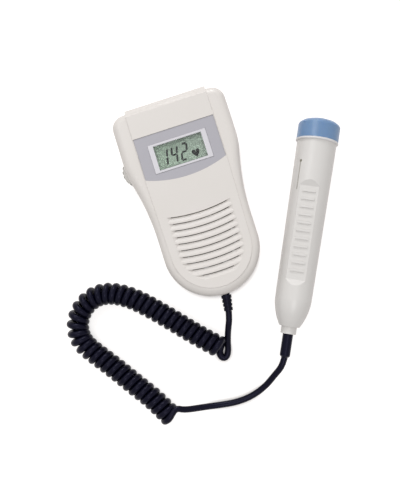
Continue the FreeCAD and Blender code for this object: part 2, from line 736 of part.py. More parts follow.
def louvre_field():
    """Where the louvres reach: beyond its floor their ends rise to the surface and fade out."""
    field = body("louvre_field")
    margin, fade = mm("louvre_margin"), mm("louvre_fade")
    flare = fade * mm("plateau_step") / mm("louvre_depth")
    plans = (("base", margin + fade, ROOF + " - plateau_step"),
             ("floor", margin + fade, "case_depth - louvre_depth"),
             ("mouth", margin - flare, "case_depth + plateau_step"))
    base, floor, mouth = [field_plan(field, *plan) for plan in plans]
    pad(field, base, "roof_thickness + plateau_step - louvre_depth")
    slopes = feature(field, "AdditiveLoft", "field_slopes", floor)
    slopes.Sections = [mouth]
    slopes.Ruled = True
    return field


def field_plan(field, name, inset, lift):
    """The plateau's plan below the first louvre, drawn in from its edge."""
    flat = sketch(field, "field_" + name, lift=lift)
    x, _, radius = plateau_heel()
    draw(flat, lobe_outline(inset, (x + radius - inset, mm(LOUVRE_HEAD + " + louvre_pitch / 2"))))
    return flat


def case_openings(side):
    """Holes that both shells share: wheel slot, cord exit and headphone socket."""
    slot = rod(side + "_wheel_slot", "wheel_radius + wheel_clearance", "wheel_thickness + 2 * wheel_gap",
               WHEEL_X, WHEEL_Y, WHEEL_FOOT + " - wheel_gap")
    cord_exit = rod(side + "_cord_exit", "stem_radius + stem_gap", "4 * wall", "0",
                    "-case_length / 2 - wall", "parting_height", along="y")
    socket = rod(side + "_socket_hole", "jack_nose_radius + jack_hole_gap", "2 * wall + jack_wall_gap",
                 "-case_width / 2 - wall", JACK_Y, JACK_AXIS, along="x")
    return slot, cord_exit, socket


# ---------------------------------------------------------------------------------------
# Rear shell: tray with the locating lip, screw columns and the battery bay
# ---------------------------------------------------------------------------------------
def make_rear_shell():
    tray, slab = case_slab("rear_moulding", "0", "parting_height")
    rounded(tray, slab, lies_at(0.0), "back_edge_radius")

    hollow = sketch(tray, "rear_hollow", lift="parting_height")
    draw(hollow, case_outline(mm("wall")))
    seat_top = "(door_thickness + door_gap + seat_thickness)"
    pocket(tray, hollow, "parting_height - " + seat_top)

    well = sketch(tray, "rear_well", lift=seat_top)
    margin = "(wall + column_radius)"
    rectangle(well, ("-waist_width / 2 + wall", DOOR_HEAD + " + door_gap + wall"),
              ("waist_width / 2 - wall", "case_length / 2 - corner_radius - " + margin))
    pocket(tray, well, seat_top + " - floor_thickness")

    lip = sketch(tray, "lip_plan", lift="parting_height - lip_height")
    draw(lip, case_outline(mm("wall - lip_thickness")))
    draw(lip, case_outline(mm("wall")))
    pad(tray, lip, "2 * lip_height")

    columns = sketch(tray, "screw_columns", lift="floor_thickness")
    for x, y in SCREWS:
        circle(columns, x, y, "column_radius")
    pad(tray, columns, "parting_height - floor_thickness")

    bay = sketch(tray, "bay_plan", lift="floor_thickness")
    half = "(bay_width / 2 + bay_wall)"
    rectangle(bay, ("-" + half, BAY_FOOT + " - bay_wall"), (half, BAY_HEAD + " + bay_wall"))
    pad(tray, bay, "bay_height + bay_wall - floor_thickness")

    room = sketch(tray, "bay_room")
    rectangle(room, ("-bay_width / 2", BAY_FOOT), ("bay_width / 2", BAY_HEAD))
    pocket(tray, room, "bay_height", upwards=True)

    door_way = box("door_way", "-door_width / 2 - door_gap", "-case_length / 2 - wall", "-door_thickness",
                   "door_width + 2 * door_gap", "case_length / 2 + wall + door_gap + " + DOOR_HEAD,
                   "2 * door_thickness + door_gap")
    tracks = [track for index in range(int(mm("tab_count"))) for track in door_track(index)]
    screw_ways = []
    for number, (x, y) in enumerate(SCREWS, start=1):
        screw_ways.append(rod("head_way_%d" % number, "screw_head_radius + screw_play", "screw_seat + wall",
                              x, y, "-wall"))
        screw_ways.append(rod("shank_way_%d" % number, "screw_radius + screw_play", "parting_height", x, y))
    magnet_way = rod("magnet_way", "magnet_radius + magnet_gap", "3 * bay_wall", "0", SPEAKER_Y,
                     "bay_height - bay_wall")
    return cut("rear_shell", tray, door_way, magnet_way, *tracks, *screw_ways, *case_openings("rear"))


def door_track(index):
    """A tab's groove in the rear shell, and the notch that lets it out after the slide."""
    across = "door_width + 2 * (tab_reach + tab_gap)"
    head = DOOR_HEAD + " - tab_first - %d * tab_pitch + tab_gap" % index
    low = "door_thickness - tab_thickness - tab_gap"
    groove = box("tab_groove_%d" % index, "-(%s) / 2" % across,
                 head + " - tab_length - door_travel - 2 * tab_gap", low,
                 across, "tab_length + door_travel + 2 * tab_gap", "tab_thickness + 2 * tab_gap")
    notch = box("tab_notch_%d" % index, "-(%s) / 2" % across,
                head + " - tab_length - door_travel - 2 * tab_gap", "-tab_thickness",
                across, "tab_length + 2 * tab_gap", "door_thickness + tab_thickness")
    return groove, notch


# ---------------------------------------------------------------------------------------
# Battery door: slides towards the cord end, then lifts away
# ---------------------------------------------------------------------------------------
def make_battery_door():
    blank, slab = case_slab("door_blank", "0", "parting_height")
    rounded(blank, slab, lies_at(0.0), "back_edge_radius")
    cover = box("door_cover", "-door_width / 2", "-case_length / 2 - wall", "0",
                "door_width", "case_length / 2 + wall + " + DOOR_HEAD, "door_thickness")
    tabs = []
    for index in range(int(mm("tab_count"))):
        tabs.append(box("door_tab_%d" % index, "-door_width / 2 - tab_reach",
                        DOOR_HEAD + " - tab_first - %d * tab_pitch - tab_length" % index,
                        "door_thickness - tab_thickness",
                        "door_width + 2 * tab_reach", "tab_length", "tab_thickness"))
    plate = common("door_plate", blank, fuse("door_and_tabs", cover, *tabs))
    grips = []
    for index in range(int(mm("grip_count"))):
        grips.append(block("finger_groove_%d" % index, "0",
                           DOOR_HEAD + " - grip_first - %d * grip_pitch" % index,
                           "-grip_depth", "grip_length", "grip_width", "2 * grip_depth"))
    return cut("battery_door", plate, *grips)


# ---------------------------------------------------------------------------------------
# Display: lilac panel, silver frame, window, glass, contact strips
# ---------------------------------------------------------------------------------------
PANEL_SEAT = "case_depth - panel_recess"
BEZEL_TOP = PANEL_SEAT + " + panel_thickness + bezel_proud"
FLANGE_FOOT = ROOF + " - flange_thickness"
WINDOW_TOP = BEZEL_TOP + " - frame_lip"


def make_display():
    panel = body("panel_blank")
    plan = sketch(panel, "panel_plan", lift=PANEL_SEAT)
    draw(plan, panel_outline(mm("panel_gap")))
    pad(panel, plan, "panel_thickness")
    hole = block("panel_hole", "0", DISPLAY_Y, PANEL_SEAT + " - panel_gap", "bezel_width + 2 * bezel_gap",
                 "bezel_height + 2 * bezel_gap", "panel_thickness + 2 * panel_gap")
    cut("display_panel", panel, hole)

    frame = block("frame_block", "0", DISPLAY_Y, FLANGE_FOOT, "bezel_width", "bezel_height",
                  "%s - (%s)" % (BEZEL_TOP, FLANGE_FOOT))
    flange = block("frame_flange", "0", DISPLAY_Y, FLANGE_FOOT, "bezel_width + 2 * bezel_flange",
                   "bezel_height + 2 * bezel_flange", "flange_thickness")
    opening = block("frame_opening", "0", DISPLAY_Y, FLANGE_FOOT + " - wall", "window_width",
                    "window_height", "case_depth")
    rebate = block("frame_rebate", "0", DISPLAY_Y, FLANGE_FOOT + " - wall",
                   "window_width + 2 * window_ledge + 2 * window_gap",
                   "window_height + 2 * window_ledge + 2 * window_gap",
                   "%s - (%s) + wall" % (WINDOW_TOP, FLANGE_FOOT))
    cut("display_frame", fuse("frame_solid", frame, flange), opening, rebate)

    block("display_window", "0", DISPLAY_Y, WINDOW_TOP + " - window_thickness",
          "window_width + 2 * window_ledge", "window_height + 2 * window_ledge", "window_thickness")

    foot = FLANGE_FOOT + " - glass_thickness"
    lower = block("lower_glass", "0", DISPLAY_Y, foot, "glass_width", "glass_height", "glass_thickness / 2")
    upper = block("upper_glass", "0", DISPLAY_Y, foot + " + glass_thickness / 2",
                  "glass_width", "glass_height - glass_ledge", "glass_thickness / 2")
    fuse("display_glass", lower, upper)

    strips = []
    for side in ("-", "+"):
        name = "contact_strip_" + ("low" if side == "-" else "high")
        strips.append(block(name, "0", DISPLAY_Y + " %s strip_spacing / 2" % side, BOARD_TOP,
                            "strip_length", "strip_width", "strip_height"))
    several("contact_strips", strips)


# ---------------------------------------------------------------------------------------
# Speaker behind the louvres: pressed basket, cone and magnet
# ---------------------------------------------------------------------------------------
def make_speaker():
    front, rim = mm("speaker_radius"), mm("speaker_rim")
    thick, cone_rim, coil = mm("cone_sheet"), mm("cone_radius"), mm("magnet_radius / 2")
    wall, depth, plate = mm("basket_wall"), mm("basket_depth"), mm("basket_radius")
    seat, shelf = cone_rim + thick / 2, cone_rim - 2 * thick
    basket = turned("speaker_basket", [
        (front, 0), (seat, 0), (seat, -2 * thick), (shelf, -2 * thick), (plate - wall, wall - depth),
        (coil, wall - depth), (coil, -depth), (plate, -depth), (shelf + wall, -rim), (front, -rim),
    ])
    fold, low = cone_rim - 3 * thick, 2 * thick - mm("basket_depth - basket_wall")
    cone = turned("speaker_cone", [
        (cone_rim, -thick), (cone_rim, -2 * thick), (fold, -2 * thick), (coil, low),
        (0, low + 2 * thick), (0, low + 3 * thick), (coil, low + thick), (fold, -thick),
    ])
    for piece in (basket, cone):
        place(piece, "0", SPEAKER_Y, ROOF)
    rod("speaker_magnet", "magnet_radius", "magnet_height", "0", SPEAKER_Y,
        ROOF + " - basket_depth - magnet_height")


# ---------------------------------------------------------------------------------------
# Circuit board, its chips, the volume control with its wheel, and the headphone socket
# ---------------------------------------------------------------------------------------
def make_board():
    blank = body("board_blank")
    plan = sketch(blank, "board_plan", lift=BOARD_BACK)
    draw(plan, case_outline(mm("board_inset")))
    pad(blank, plan, "board_thickness")
    window = box("board_window", "-case_width / 2", BOARD_FOOT, BOARD_BACK + " - board_thickness",
                 "case_width", "board_foot - board_head", "3 * board_thickness")
    common("main_board", blank, window)

    under = BOARD_BACK + " - chip_height"
    several("board_chips", [
        block("controller_chip", "0", DISPLAY_Y, under, "chip_side", "chip_side", "chip_height"),
        block("amplifier_chip", "chip_side * 1.6", BOARD_FOOT + " + chip_side", under, "chip_side * 0.6",
              "chip_side * 0.5", "chip_height"),
        block("filter_chip", "-chip_side * 1.2", BOARD_FOOT + " + chip_side", under, "chip_side * 0.9",
              "chip_side * 0.4", "chip_height"),
        block("supply_chip", "chip_side * 2", DISPLAY_Y, under, "chip_side * 0.5",
              "chip_side * 0.5", "chip_height"),
    ])


def make_volume_control():
    wheel = body("volume_wheel")
    disc = sketch(wheel, "wheel_plan")
    circle(disc, "0", "0", "wheel_radius")
    circle(disc, "0", "0", "shaft_radius")
    pad(wheel, disc, "wheel_thickness")
    notch = sketch(wheel, "wheel_notch")
    circle(notch, "wheel_radius + knurl_radius - knurl_depth", "0", "knurl_radius")
    first = pocket(wheel, notch, "wheel_thickness", upwards=True)
    knurls = wheel.newObject("PartDesign::PolarPattern", "wheel_knurls")
    knurls.Originals = [first]
    knurls.Axis = (notch, ["N_Axis"])
    knurls.Angle = 360
    bind(knurls, Occurrences="knurl_count")
    wheel.Tip = knurls
    place(wheel, WHEEL_X, WHEEL_Y, WHEEL_FOOT)

    spindle = rod("shaft_spindle", "shaft_radius", "wheel_foot - pot_cover - shaft_play",
                  WHEEL_X, WHEEL_Y, WHEEL_FOOT)
    head = rod("shaft_head", "shaft_head_radius", "shaft_head", WHEEL_X, WHEEL_Y, WHEEL_FOOT + " - shaft_head")
    fuse("volume_shaft", spindle, head)

    face = WHEEL_TOP + " + pot_play"
    boss = rod("pot_boss", "pot_boss_radius", "pot_boss_height", WHEEL_X, WHEEL_Y, face)
    can = rod("pot_can", "pot_radius", "%s - (%s) - pot_boss_height" % (BOARD_BACK, face),
              WHEEL_X, WHEEL_Y, face + " + pot_boss_height")
    bore = rod("pot_bore", "shaft_radius + shaft_clearance", "%s - (%s) - pot_cover" % (BOARD_BACK, face),
               WHEEL_X, WHEEL_Y, face)
    cut("volume_control", fuse("pot_solid", boss, can), bore)


def make_headphone_socket():
    inner_wall = "-case_width / 2 + wall + jack_wall_gap"
    housing = box("socket_housing", inner_wall, JACK_Y + " - jack_width / 2", BOARD_BACK + " - jack_height",
                  "jack_length", "jack_width", "jack_height")
    mouth = "-case_width / 2 + jack_nose_inset"
    nose = rod("socket_nose", "jack_nose_radius", "wall + jack_wall_gap", mouth, JACK_Y, JACK_AXIS, along="x")
    bore = rod("socket_bore", "jack_bore_radius", "jack_bore_depth + wall", mouth + " - wall", JACK_Y,
               JACK_AXIS, along="x")
    cut("headphone_socket", fuse("socket_solid", housing, nose), bore)


# ---------------------------------------------------------------------------------------
# Batteries with their contacts and springs
# ---------------------------------------------------------------------------------------
CELL_Z = "door_thickness + cell_lift + cell_radius"
PLUS_FACE = "(contact_thickness + pole_length)"


def make_batteries():
    for name, side, flipped in (("battery_left", "-", False), ("battery_right", "", True)):
        x = side + "cell_spacing / 2"
        if flipped:
            can_foot = BAY_FOOT + " + " + PLUS_FACE
            pole_foot = BAY_FOOT + " + contact_thickness"
        else:
            can_foot = BAY_HEAD + " - cell_length - " + PLUS_FACE
            pole_foot = BAY_HEAD + " - " + PLUS_FACE
        can = rod(name + "_can", "cell_radius", "cell_length", x, can_foot, CELL_Z, along="y")
        pole = rod(name + "_pole", "pole_radius", "pole_length", x, pole_foot, CELL_Z, along="y")
        fuse(name, can, pole)

    plates = []
    link = "cell_spacing + contact_width"
    z = CELL_Z + " - contact_width / 2"
    plates.append(box("link_plate", "-(%s) / 2" % link, BAY_FOOT, z,
                      link, "contact_thickness", "contact_width"))
    for side in ("-", ""):
        plates.append(box("end_plate" + ("_left" if side else "_right"),
                          side + "cell_spacing / 2 - contact_width / 2",
                          BAY_HEAD + " - contact_thickness", z,
                          "contact_width", "contact_thickness", "contact_width"))
    several("battery_contacts", plates)

    springs = []
    feet = (BAY_FOOT + " + contact_thickness", BAY_FOOT + " + cell_length + " + PLUS_FACE)
    for name, side, foot in (("spring_left", "-", feet[0]), ("spring_right", "", feet[1])):
        spring = body(name)
        wire = sketch(spring, name + "_wire", "XZ_Plane")
        rectangle(wire, ("spring_radius - spring_wire", "0"),
                  ("spring_radius + spring_wire", "2 * spring_wire"))
        coil = spring.newObject("PartDesign::AdditiveHelix", name + "_coil")
        coil.Profile = wire
        coil.ReferenceAxis = (wire, ["V_Axis"])
        coil.Mode = "height-turns-angle"
        room = "bay_length - contact_thickness - cell_length - (%s)" % PLUS_FACE
        bind(coil, Height=room + " - 2 * (spring_wire + spring_gap)", Turns="spring_turns")
        spring.Placement = Placement(Vector(), TURNED["y"])
        place(spring, side + "cell_spacing / 2", foot + " + spring_gap", CELL_Z)
        springs.append(spring)
    several("battery_springs", springs)


# ---------------------------------------------------------------------------------------
# Screws: four alike, in from the back
# ---------------------------------------------------------------------------------------
def make_screws():
    screws = []
    for number, (x, y) in enumerate(SCREWS, start=1):
        tag = "_%d" % number
        head_foot = "screw_seat - screw_head_height"
        head = rod("screw_head" + tag, "screw_head_radius", "screw_head_height", x, y, head_foot)
        shank = rod("screw_shank" + tag, "screw_radius", "screw_length", x, y, "screw_seat")
        slots = []
        for wide, deep, name in (("drive_width", "screw_head_radius", "drive_y"),
                                 ("screw_head_radius", "drive_width", "drive_x")):
            slots.append(block(name + tag, x, y, head_foot + " - drive_depth", wide, deep, "2 * drive_depth"))
        screws.append(cut("screw" + tag, fuse("screw_solid" + tag, head, shank), *slots))
    several("case_screws", screws)


# ---------------------------------------------------------------------------------------
# Unit relief: rubber boot that leans the way the cord leaves
# ---------------------------------------------------------------------------------------
def relief_direction():
    lean = math.radians(mm("relief_lean"))
    return Vector(-math.sin(lean), -math.cos(lean), 0)


def make_unit_relief():
    root, tip, length = mm("relief_root_radius"), mm("relief_tip_radius"), mm("relief_length")
    wide, deep, notches = mm("notch_width"), mm("notch_depth"), int(mm("relief_notches"))

    def radius_at(height):
        return root + (tip - root) * height / length

    outline = [(0, 0), (root, 0)]
    pitch = length / (notches + 1)
    for index in range(notches):
        low = pitch * (index + 1) - wide / 2
        high = low + wide
        outline += [(radius_at(low), low), (radius_at(low) - deep, low),
                    (radius_at(high) - deep, high), (radius_at(high), high)]
    outline += [(tip, length), (0, length)]
    boot = turned("relief_boot", outline)
    start = Vector(0, mm("-case_length / 2 - relief_standoff"), mm("parting_height"))
    boot.Placement = Placement(start, Rotation(Vector(0, 0, 1), relief_direction()))
    stem = rod("relief_stem", "stem_radius", "wall + flange_play + 2 * relief_standoff", "0",
               "-case_length / 2 - 2 * relief_standoff", "parting_height", along="y")
    flange = rod("relief_flange", "stem_flange_radius", "stem_flange", "0",
                 "-case_length / 2 + wall + flange_play", "parting_height", along="y")
    fuse("unit_relief", boot, stem, flange)
    return start + relief_direction() * length, relief_direction()


# ---------------------------------------------------------------------------------------
# Probe: blue cap, pale ring, seal, housing with its ribbed thumb pad, relief, and inside it
# the crystals, their backing and a board. It is built along -Y from its face at the origin.
# ---------------------------------------------------------------------------------------
def probe_placement():
    """The probe lies on its ring and on the end of its belly, so it leans a little."""
    ring_at = mm("cap_length + collar_ring_length / 2")
    ring, tail = mm("collar_ring_radius"), mm("grip_tail_radius")
    lean = math.atan2(ring - tail, mm("taper_start") - ring_at)
    height = ring / math.cos(lean) + ring_at * math.sin(lean)
    turn_z = Rotation(Vector(0, 0, 1), -mm("probe_heading"))
    turn_x = Rotation(Vector(1, 0, 0), math.degrees(lean))
    roll = Rotation(Vector(0, 1, 0), -mm("probe_roll"))
    face = Vector(mm("probe_face_x"), mm("probe_face_y"), height)
    return Placement(face, turn_z.multiply(turn_x).multiply(roll))


def housing_radius(station):
    """Radius of the grip between the ring and the taper."""
    start, end = mm("cap_length + collar_ring_length"), mm("taper_start")
    head, tail = mm("grip_head_radius"), mm("grip_tail_radius")
    return head + (tail - head) * (station - start) / (end - start)


def grip_layer(name, inside, outside):
    """A thin sleeve that follows the grip, from inside to outside of its surface."""
    first, last = mm("cap_length + collar_ring_length"), mm("taper_start")
    head, tail = housing_radius(first), housing_radius(last)
    return turned(name, [(head - inside, -first), (head + outside, -first),
                         (tail + outside, -last), (tail - inside, -last)], "XY_Plane")


def grip_slab(name, points):
    """A slab as wide as the thumb pad, from stations and their heights over the round grip."""
    owner = body(name)
    flat = sketch(owner, name + "_profile", "YZ_Plane")
    polygon(flat, [(-station, housing_radius(station) + over) for station, over in points])
    pad(owner, flat, "pad_width", both_ways=True)
    return owner


def make_probe():
    pieces = {}
    spigot = mm("cap_radius - cap_wall - spigot_gap")
    shoulder = mm("cap_length + collar_ring_length")
    seal_foot = mm("seal_at") - 2 * mm("seal_radius")
    seal_head = mm("seal_at") + 2 * mm("seal_radius")
    groove = spigot - 2 * mm("seal_radius")
    belly, tail, bore = mm("taper_start"), mm("tail_radius"), mm("probe_bore")
    hole = mm("cable_bore")
    housing = body("housing_solid")
    flat = sketch(housing, "housing_outline", "XY_Plane")
    straight = [
        (mm("collar_radius"), -mm("collar_start")), (mm("collar_radius"), -mm("probe_length")),
        (hole, -mm("probe_length")), (hole, -mm("bore_end") - bore + hole), (bore, -mm("bore_end")),
        (bore, -mm("front_bore_end")), (mm("front_bore"), -mm("front_bore_end")),
        (mm("front_bore"), -mm("spigot_start")), (spigot, -mm("spigot_start")), (spigot, -seal_foot),
        (groove, -seal_foot), (groove, -seal_head), (spigot, -seal_head), (spigot, -shoulder),
        (mm("grip_head_radius"), -shoulder), (mm("grip_tail_radius"), -belly),
    ]
    edges = [line(start, end) for start, end in zip(straight, straight[1:])]
    middle, belly_end = (mm("taper_mid_radius"), -mm("taper_mid")), straight[-1]
    edges.append(arc_through((tail, -mm("collar_start")), middle, belly_end))
    edges.append(line((tail, -mm("collar_start")), straight[0]))
    draw(flat, edges)
    turn(housing, flat)

    start, end, ramp, depth = mm("pad_start"), mm("pad_end"), mm("pad_ramp"), mm("pad_depth")
    over = mm("cap_radius")
    thumb_pad = grip_slab("thumb_pad", [(start, over), (start, 0), (start + ramp, -depth),
                                        (end - ramp, -depth), (end, 0), (end, over)])

    blades = body("rib_blades")
    flat = sketch(blades, "rib_outline")
    rectangle(flat, ("-rib_width / 2", "-rib_first - rib_thickness / 2"),
              ("rib_width / 2", "-rib_first + rib_thickness / 2"))
    first = pad(blades, flat, "2 * cap_radius")
    pattern = blades.newObject("PartDesign::LinearPattern", "rib_pattern")
    pattern.Originals = [first]
    pattern.Direction = (flat, ["V_Axis"])
    pattern.Reversed = True
    pattern.Mode = "Spacing"
    bind(pattern, Occurrences="rib_count", Offset="rib_pitch")
    blades.Tip = pattern
    bite, proud = -depth - mm("rib_thickness / 2"), mm("rib_proud") - depth
    layer = grip_slab("rib_layer", [(start, proud), (start, bite), (end, bite), (end, proud)])
    ribs = common("grip_ribs", blades, layer)

    angle = mm("mark_turn")
    line_box = block("mark_line", "0", "-mark_start - mark_length / 2", "0", "mark_width", "mark_length",
                     "2 * cap_radius")
    dot = rod("mark_spot", "mark_dot", "2 * cap_radius", "0", "-mark_start")
    marks = fuse("mark_shape", line_box, dot)
    mark = common("grip_mark", marks, grip_layer("mark_layer", mm("mark_depth"), 1.0))
    mark.Placement = Placement(Vector(), Rotation(Vector(0, 1, 0), -angle))
    pieces["probe_housing"] = fuse("probe_housing", cut("housing_sunk", housing, thumb_pad, mark), ribs)

    outer, wall = mm("cap_radius"), mm("cap_wall")
    disc, step, rise, chamfer = mm("disc_radius"), mm("disc_step"), mm("cap_rise"), mm("cap_chamfer")
    inner, face = outer - wall, mm("disc_step + face_wall")
    pieces["probe_cap"] = turned("probe_cap", [
        (0, 0), (disc - step, 0), (disc, -step), (outer - chamfer, -2 * step),
        (outer - chamfer / 4, -rise + step), (outer, -rise - step),
        (outer, -mm("cap_length")), (inner, -mm("cap_length")),
        (inner, -rise - step), (inner - step, -face), (0, -face),
    ], "XY_Plane")

    ring_out, ring_foot = mm("collar_ring_radius"), mm("cap_length + collar_ring_length")
    edge = mm("collar_ring_length / 4")
    pieces["cap_ring"] = turned("cap_ring", [
        (inner, -mm("cap_length")), (ring_out - edge, -mm("cap_length")), (ring_out, -mm("cap_length") - edge),
        (ring_out, -ring_foot + edge), (ring_out - edge, -ring_foot), (inner, -ring_foot),
    ], "XY_Plane")

    thick = mm("seal_radius")
    outside, inside = inner - thick / 20, inner - 2.05 * thick
    pieces["cap_seal"] = turned("cap_seal", [(inside, -thick), (outside, -thick), (outside, thick),
                                             (inside, thick)])

    pieces["transducer_discs"] = make_crystals(face)
    backing_face = face + mm("crystal_gap + crystal_thickness")
    backing = doc.addObject("Part::Cylinder", "transducer_backing")
    bind(backing, Radius="backing_radius", Height="backing_length")
    pieces["transducer_backing"] = backing

    board_start = backing_face + mm("backing_length + probe_board_gap")
    board_half = math.sqrt((bore - mm("probe_board_gap")) ** 2 - mm("probe_board_thickness / 2") ** 2)
    board = doc.addObject("Part::Box", "probe_board")
    bind(board, Width="probe_board_length", Height="probe_board_thickness")
    board.Length = 2 * board_half
    pieces["probe_board"] = board
    part = doc.addObject("Part::Box", "probe_amplifier")
    bind(part, Length="part_width", Width="part_length", Height="part_height")
    pieces["probe_amplifier"] = part

    sleeve, plug, length = mm("sleeve_radius"), mm("plug_radius"), mm("probe_length")
    bevel, tip = mm("sleeve_chamfer"), mm("probe_length + sleeve_length")
    pieces["probe_relief"] = turned("probe_relief", [
        (0, -length + mm("plug_length")), (plug, -length + mm("plug_length")), (plug, -length),
        (sleeve, -length), (sleeve, -tip + bevel), (sleeve - bevel, -tip), (0, -tip),
    ], "XY_Plane")

    doc.recompute()
    lay = probe_placement()
    local = {
        "cap_seal": Placement(Vector(0, -mm("seal_at"), 0), TURNED["y"]),
        "transducer_backing": Placement(Vector(0, -backing_face - mm("backing_length"), 0), TURNED["y"]),
        "probe_board": Placement(Vector(-board_half, -board_start - mm("probe_board_length"),
                                        -mm("probe_board_thickness / 2")), Rotation()),
        "probe_amplifier": Placement(Vector(-mm("part_width / 2"), -board_start - mm("probe_board_length / 2"),
                                            mm("probe_board_thickness / 2")), Rotation()),
    }
    for name, piece in pieces.items():
        piece.Placement = lay.multiply(local.get(name, Placement()))
    return lay.multVec(Vector(0, -tip, 0)), lay.Rotation.multVec(Vector(0, -1, 0))


def make_crystals(face):
    """Two half-round crystals, one that sends and one that listens."""
    owner = body("transducer_discs")
    flat = sketch(owner, "crystal_plan", "XZ_Plane")
    radius, gap = mm("crystal_radius"), mm("crystal_split / 2")
    low = math.asin(gap / radius)
    reach = radius * math.cos(low)
    for sign, start in ((1, low), (-1, low + math.pi)):
        draw(flat, [arc((0, 0), radius, start, start + math.pi - 2 * low),
                    line((-sign * reach, sign * gap), (sign * reach, sign * gap))])
    flat.setExpression("AttachmentOffset.Base.z", tied("disc_step + face_wall + crystal_gap"))
    owner.AllowCompound = True
    pad(owner, flat, "crystal_thickness")
    return owner


# ---------------------------------------------------------------------------------------
# Cord: a plain lead from each relief to the two ends of the coil. Each is a tube along
# straight runs joined by arcs as large as the runs allow.
# ---------------------------------------------------------------------------------------
COIL_HEIGHT = 7.75
COIL = [
    (-14.4, -103.3), (-24.6, -93.5), (-40.9, -75.1), (-56.3, -58.6), (-66.2, -50.2),
    (-76.2, -44.7), (-86.7, -43.3), (-96.3, -47.1), (-102.8, -54.0), (-106.0, -62.6),
    (-105.0, -71.4), (-100.3, -79.1), (-90.3, -92.2), (-76.8, -111.9), (-68.4, -123.4),
    (-60.8, -137.6),
]
UNIT_LEAD = [(-4.4, -92.4, 9.4), (-6.0, -99.6, 5.6), (-6.1, -106.6, 3.6)]
UNIT_JOIN = {"aside": 3.4, "height": 3.6, "run": 7.0}
PROBE_LEAD = [
    (-46.5, -139.8, 8.2), (-38.0, -139.4, 5.2), (-27.0, -140.9, 2.9), (-14.5, -142.6, 2.5),
    (-3.0, -141.1, 2.6), (7.5, -137.0, 4.6), (15.3, -131.2, 8.2),
]
PROBE_JOIN = {"aside": -4.2, "height": 10.9, "run": 6.0}
LEAD_SHARE = 0.45


def tube(name, points, diameter):
    """A tube along the points, with each corner rounded by an arc tangent to both runs."""
    points = [Vector(*point) for point in points]
    edges, here, radii = [], points[0], []
    for before, corner, after in zip(points, points[1:], points[2:]):
        back, ahead = before - corner, after - corner
        shorter = min(back.Length, ahead.Length)
        half_turn = (math.pi - back.getAngle(ahead)) / 2
        radii.append(LEAD_SHARE * shorter / math.tan(half_turn))
        back.normalize()
        ahead.normalize()
        enter = corner + back * (LEAD_SHARE * shorter)
        leave = corner + ahead * (LEAD_SHARE * shorter)
        inward = (back + ahead).normalize()
        depth = radii[-1] / math.cos(half_turn) - radii[-1]
        edges.append(Part.LineSegment(here, enter).toShape())
        edges.append(Part.Arc(enter, corner + inward * depth, leave).toShape())
        here = leave
    edges.append(Part.LineSegment(here, points[-1]).toShape())
    path = Part.Wire(edges)
    section = Part.Wire([Part.Circle(points[0], points[1] - points[0], diameter / 2).toShape()])
    piece = doc.addObject("Part::Feature", name)
    piece.Shape = path.makePipeShell([section], True, False)
    expected = math.pi * diameter ** 2 / 4 * path.Length
    print("%s: %.1f mm long, volume %.4f of section x length, radii %s" % (
        name, path.Length, piece.Shape.Volume / expected, " ".join("%.1f" % r for r in radii)))


def coil_join(end, inner, aside, height, run):
    """A lead's last two points at an end face of the coil: on the face, then off it."""
    end, inner = Vector(*end, height), Vector(*inner, height)
    inwards = (inner - end).normalize()
    on_face = end + Vector(-inwards.y, inwards.x, 0) * aside
    return [tuple(on_face), tuple(on_face - inwards * run)]


def make_cord(unit_exit, unit_way, probe_exit, probe_way):
    cord = mm("cord_diameter")
    unit_start = [tuple(unit_exit), tuple(unit_exit + unit_way * (1.5 * cord))]
    probe_end = [tuple(probe_exit + probe_way * (1.25 * cord)), tuple(probe_exit)]
    unit_end = coil_join(COIL[0], COIL[1], **UNIT_JOIN)[::-1]
    probe_start = coil_join(COIL[-1], COIL[-2], **PROBE_JOIN)
    tube("cord_unit_lead", unit_start + UNIT_LEAD + unit_end, cord)
    tube("cord_coil", [(x, y, COIL_HEIGHT) for x, y in COIL], mm("coil_diameter"))
    tube("cord_probe_lead", probe_start + PROBE_LEAD + probe_end, cord)


# ---------------------------------------------------------------------------------------
# Build, check and write
# ---------------------------------------------------------------------------------------
NODES = [
    "front_shell", "rear_shell", "battery_door", "display_panel", "display_frame", "display_window",
    "display_glass", "contact_strips", "main_board", "board_chips", "speaker_basket", "speaker_cone",
    "speaker_magnet", "volume_wheel", "volume_shaft", "volume_control", "headphone_socket",
    "battery_left", "battery_right", "battery_contacts", "battery_springs", "case_screws",
    "unit_relief", "cord_unit_lead", "cord_coil", "cord_probe_lead", "probe_housing", "probe_cap",
    "cap_ring", "cap_seal", "transducer_discs", "transducer_backing", "probe_board",
    "probe_amplifier", "probe_relief",
]

make_front_shell()
make_rear_shell()
make_battery_door()
make_display()
make_speaker()
make_board()
make_volume_control()
make_headphone_socket()
make_batteries()
make_screws()
make_cord(*make_unit_relief(), *make_probe())
doc.recompute()

failed = [each.Label for each in doc.Objects if "Invalid" in each.State or "Error" in each.State]
for name in NODES:
    found = doc.getObjectsByLabel(name)
    if len(found) != 1 or found[0].Shape.isNull() or not found[0].Shape.isValid():
        failed.append(name)
if failed:
    raise RuntimeError("not built: " + ", ".join(failed))

os.makedirs("parts", exist_ok=True)
for name in NODES:
    shape = doc.getObjectsByLabel(name)[0].Shape
    shape.exportStep("parts/%s.step" % name)
    limits = shape.BoundBox
    print("%-20s solids %d volume %9.1f  x %7.2f %7.2f  y %8.2f %7.2f  z %6.2f %6.2f" % (
        name, len(shape.Solids), shape.Volume, limits.XMin, limits.XMax, limits.YMin, limits.YMax,
        limits.ZMin, limits.ZMax))
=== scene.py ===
"""A fetal heart doppler on a white table: display unit, probe and the curly cord between them."""

import math

import bmesh
import bpy
from mathutils import Matrix, Vector


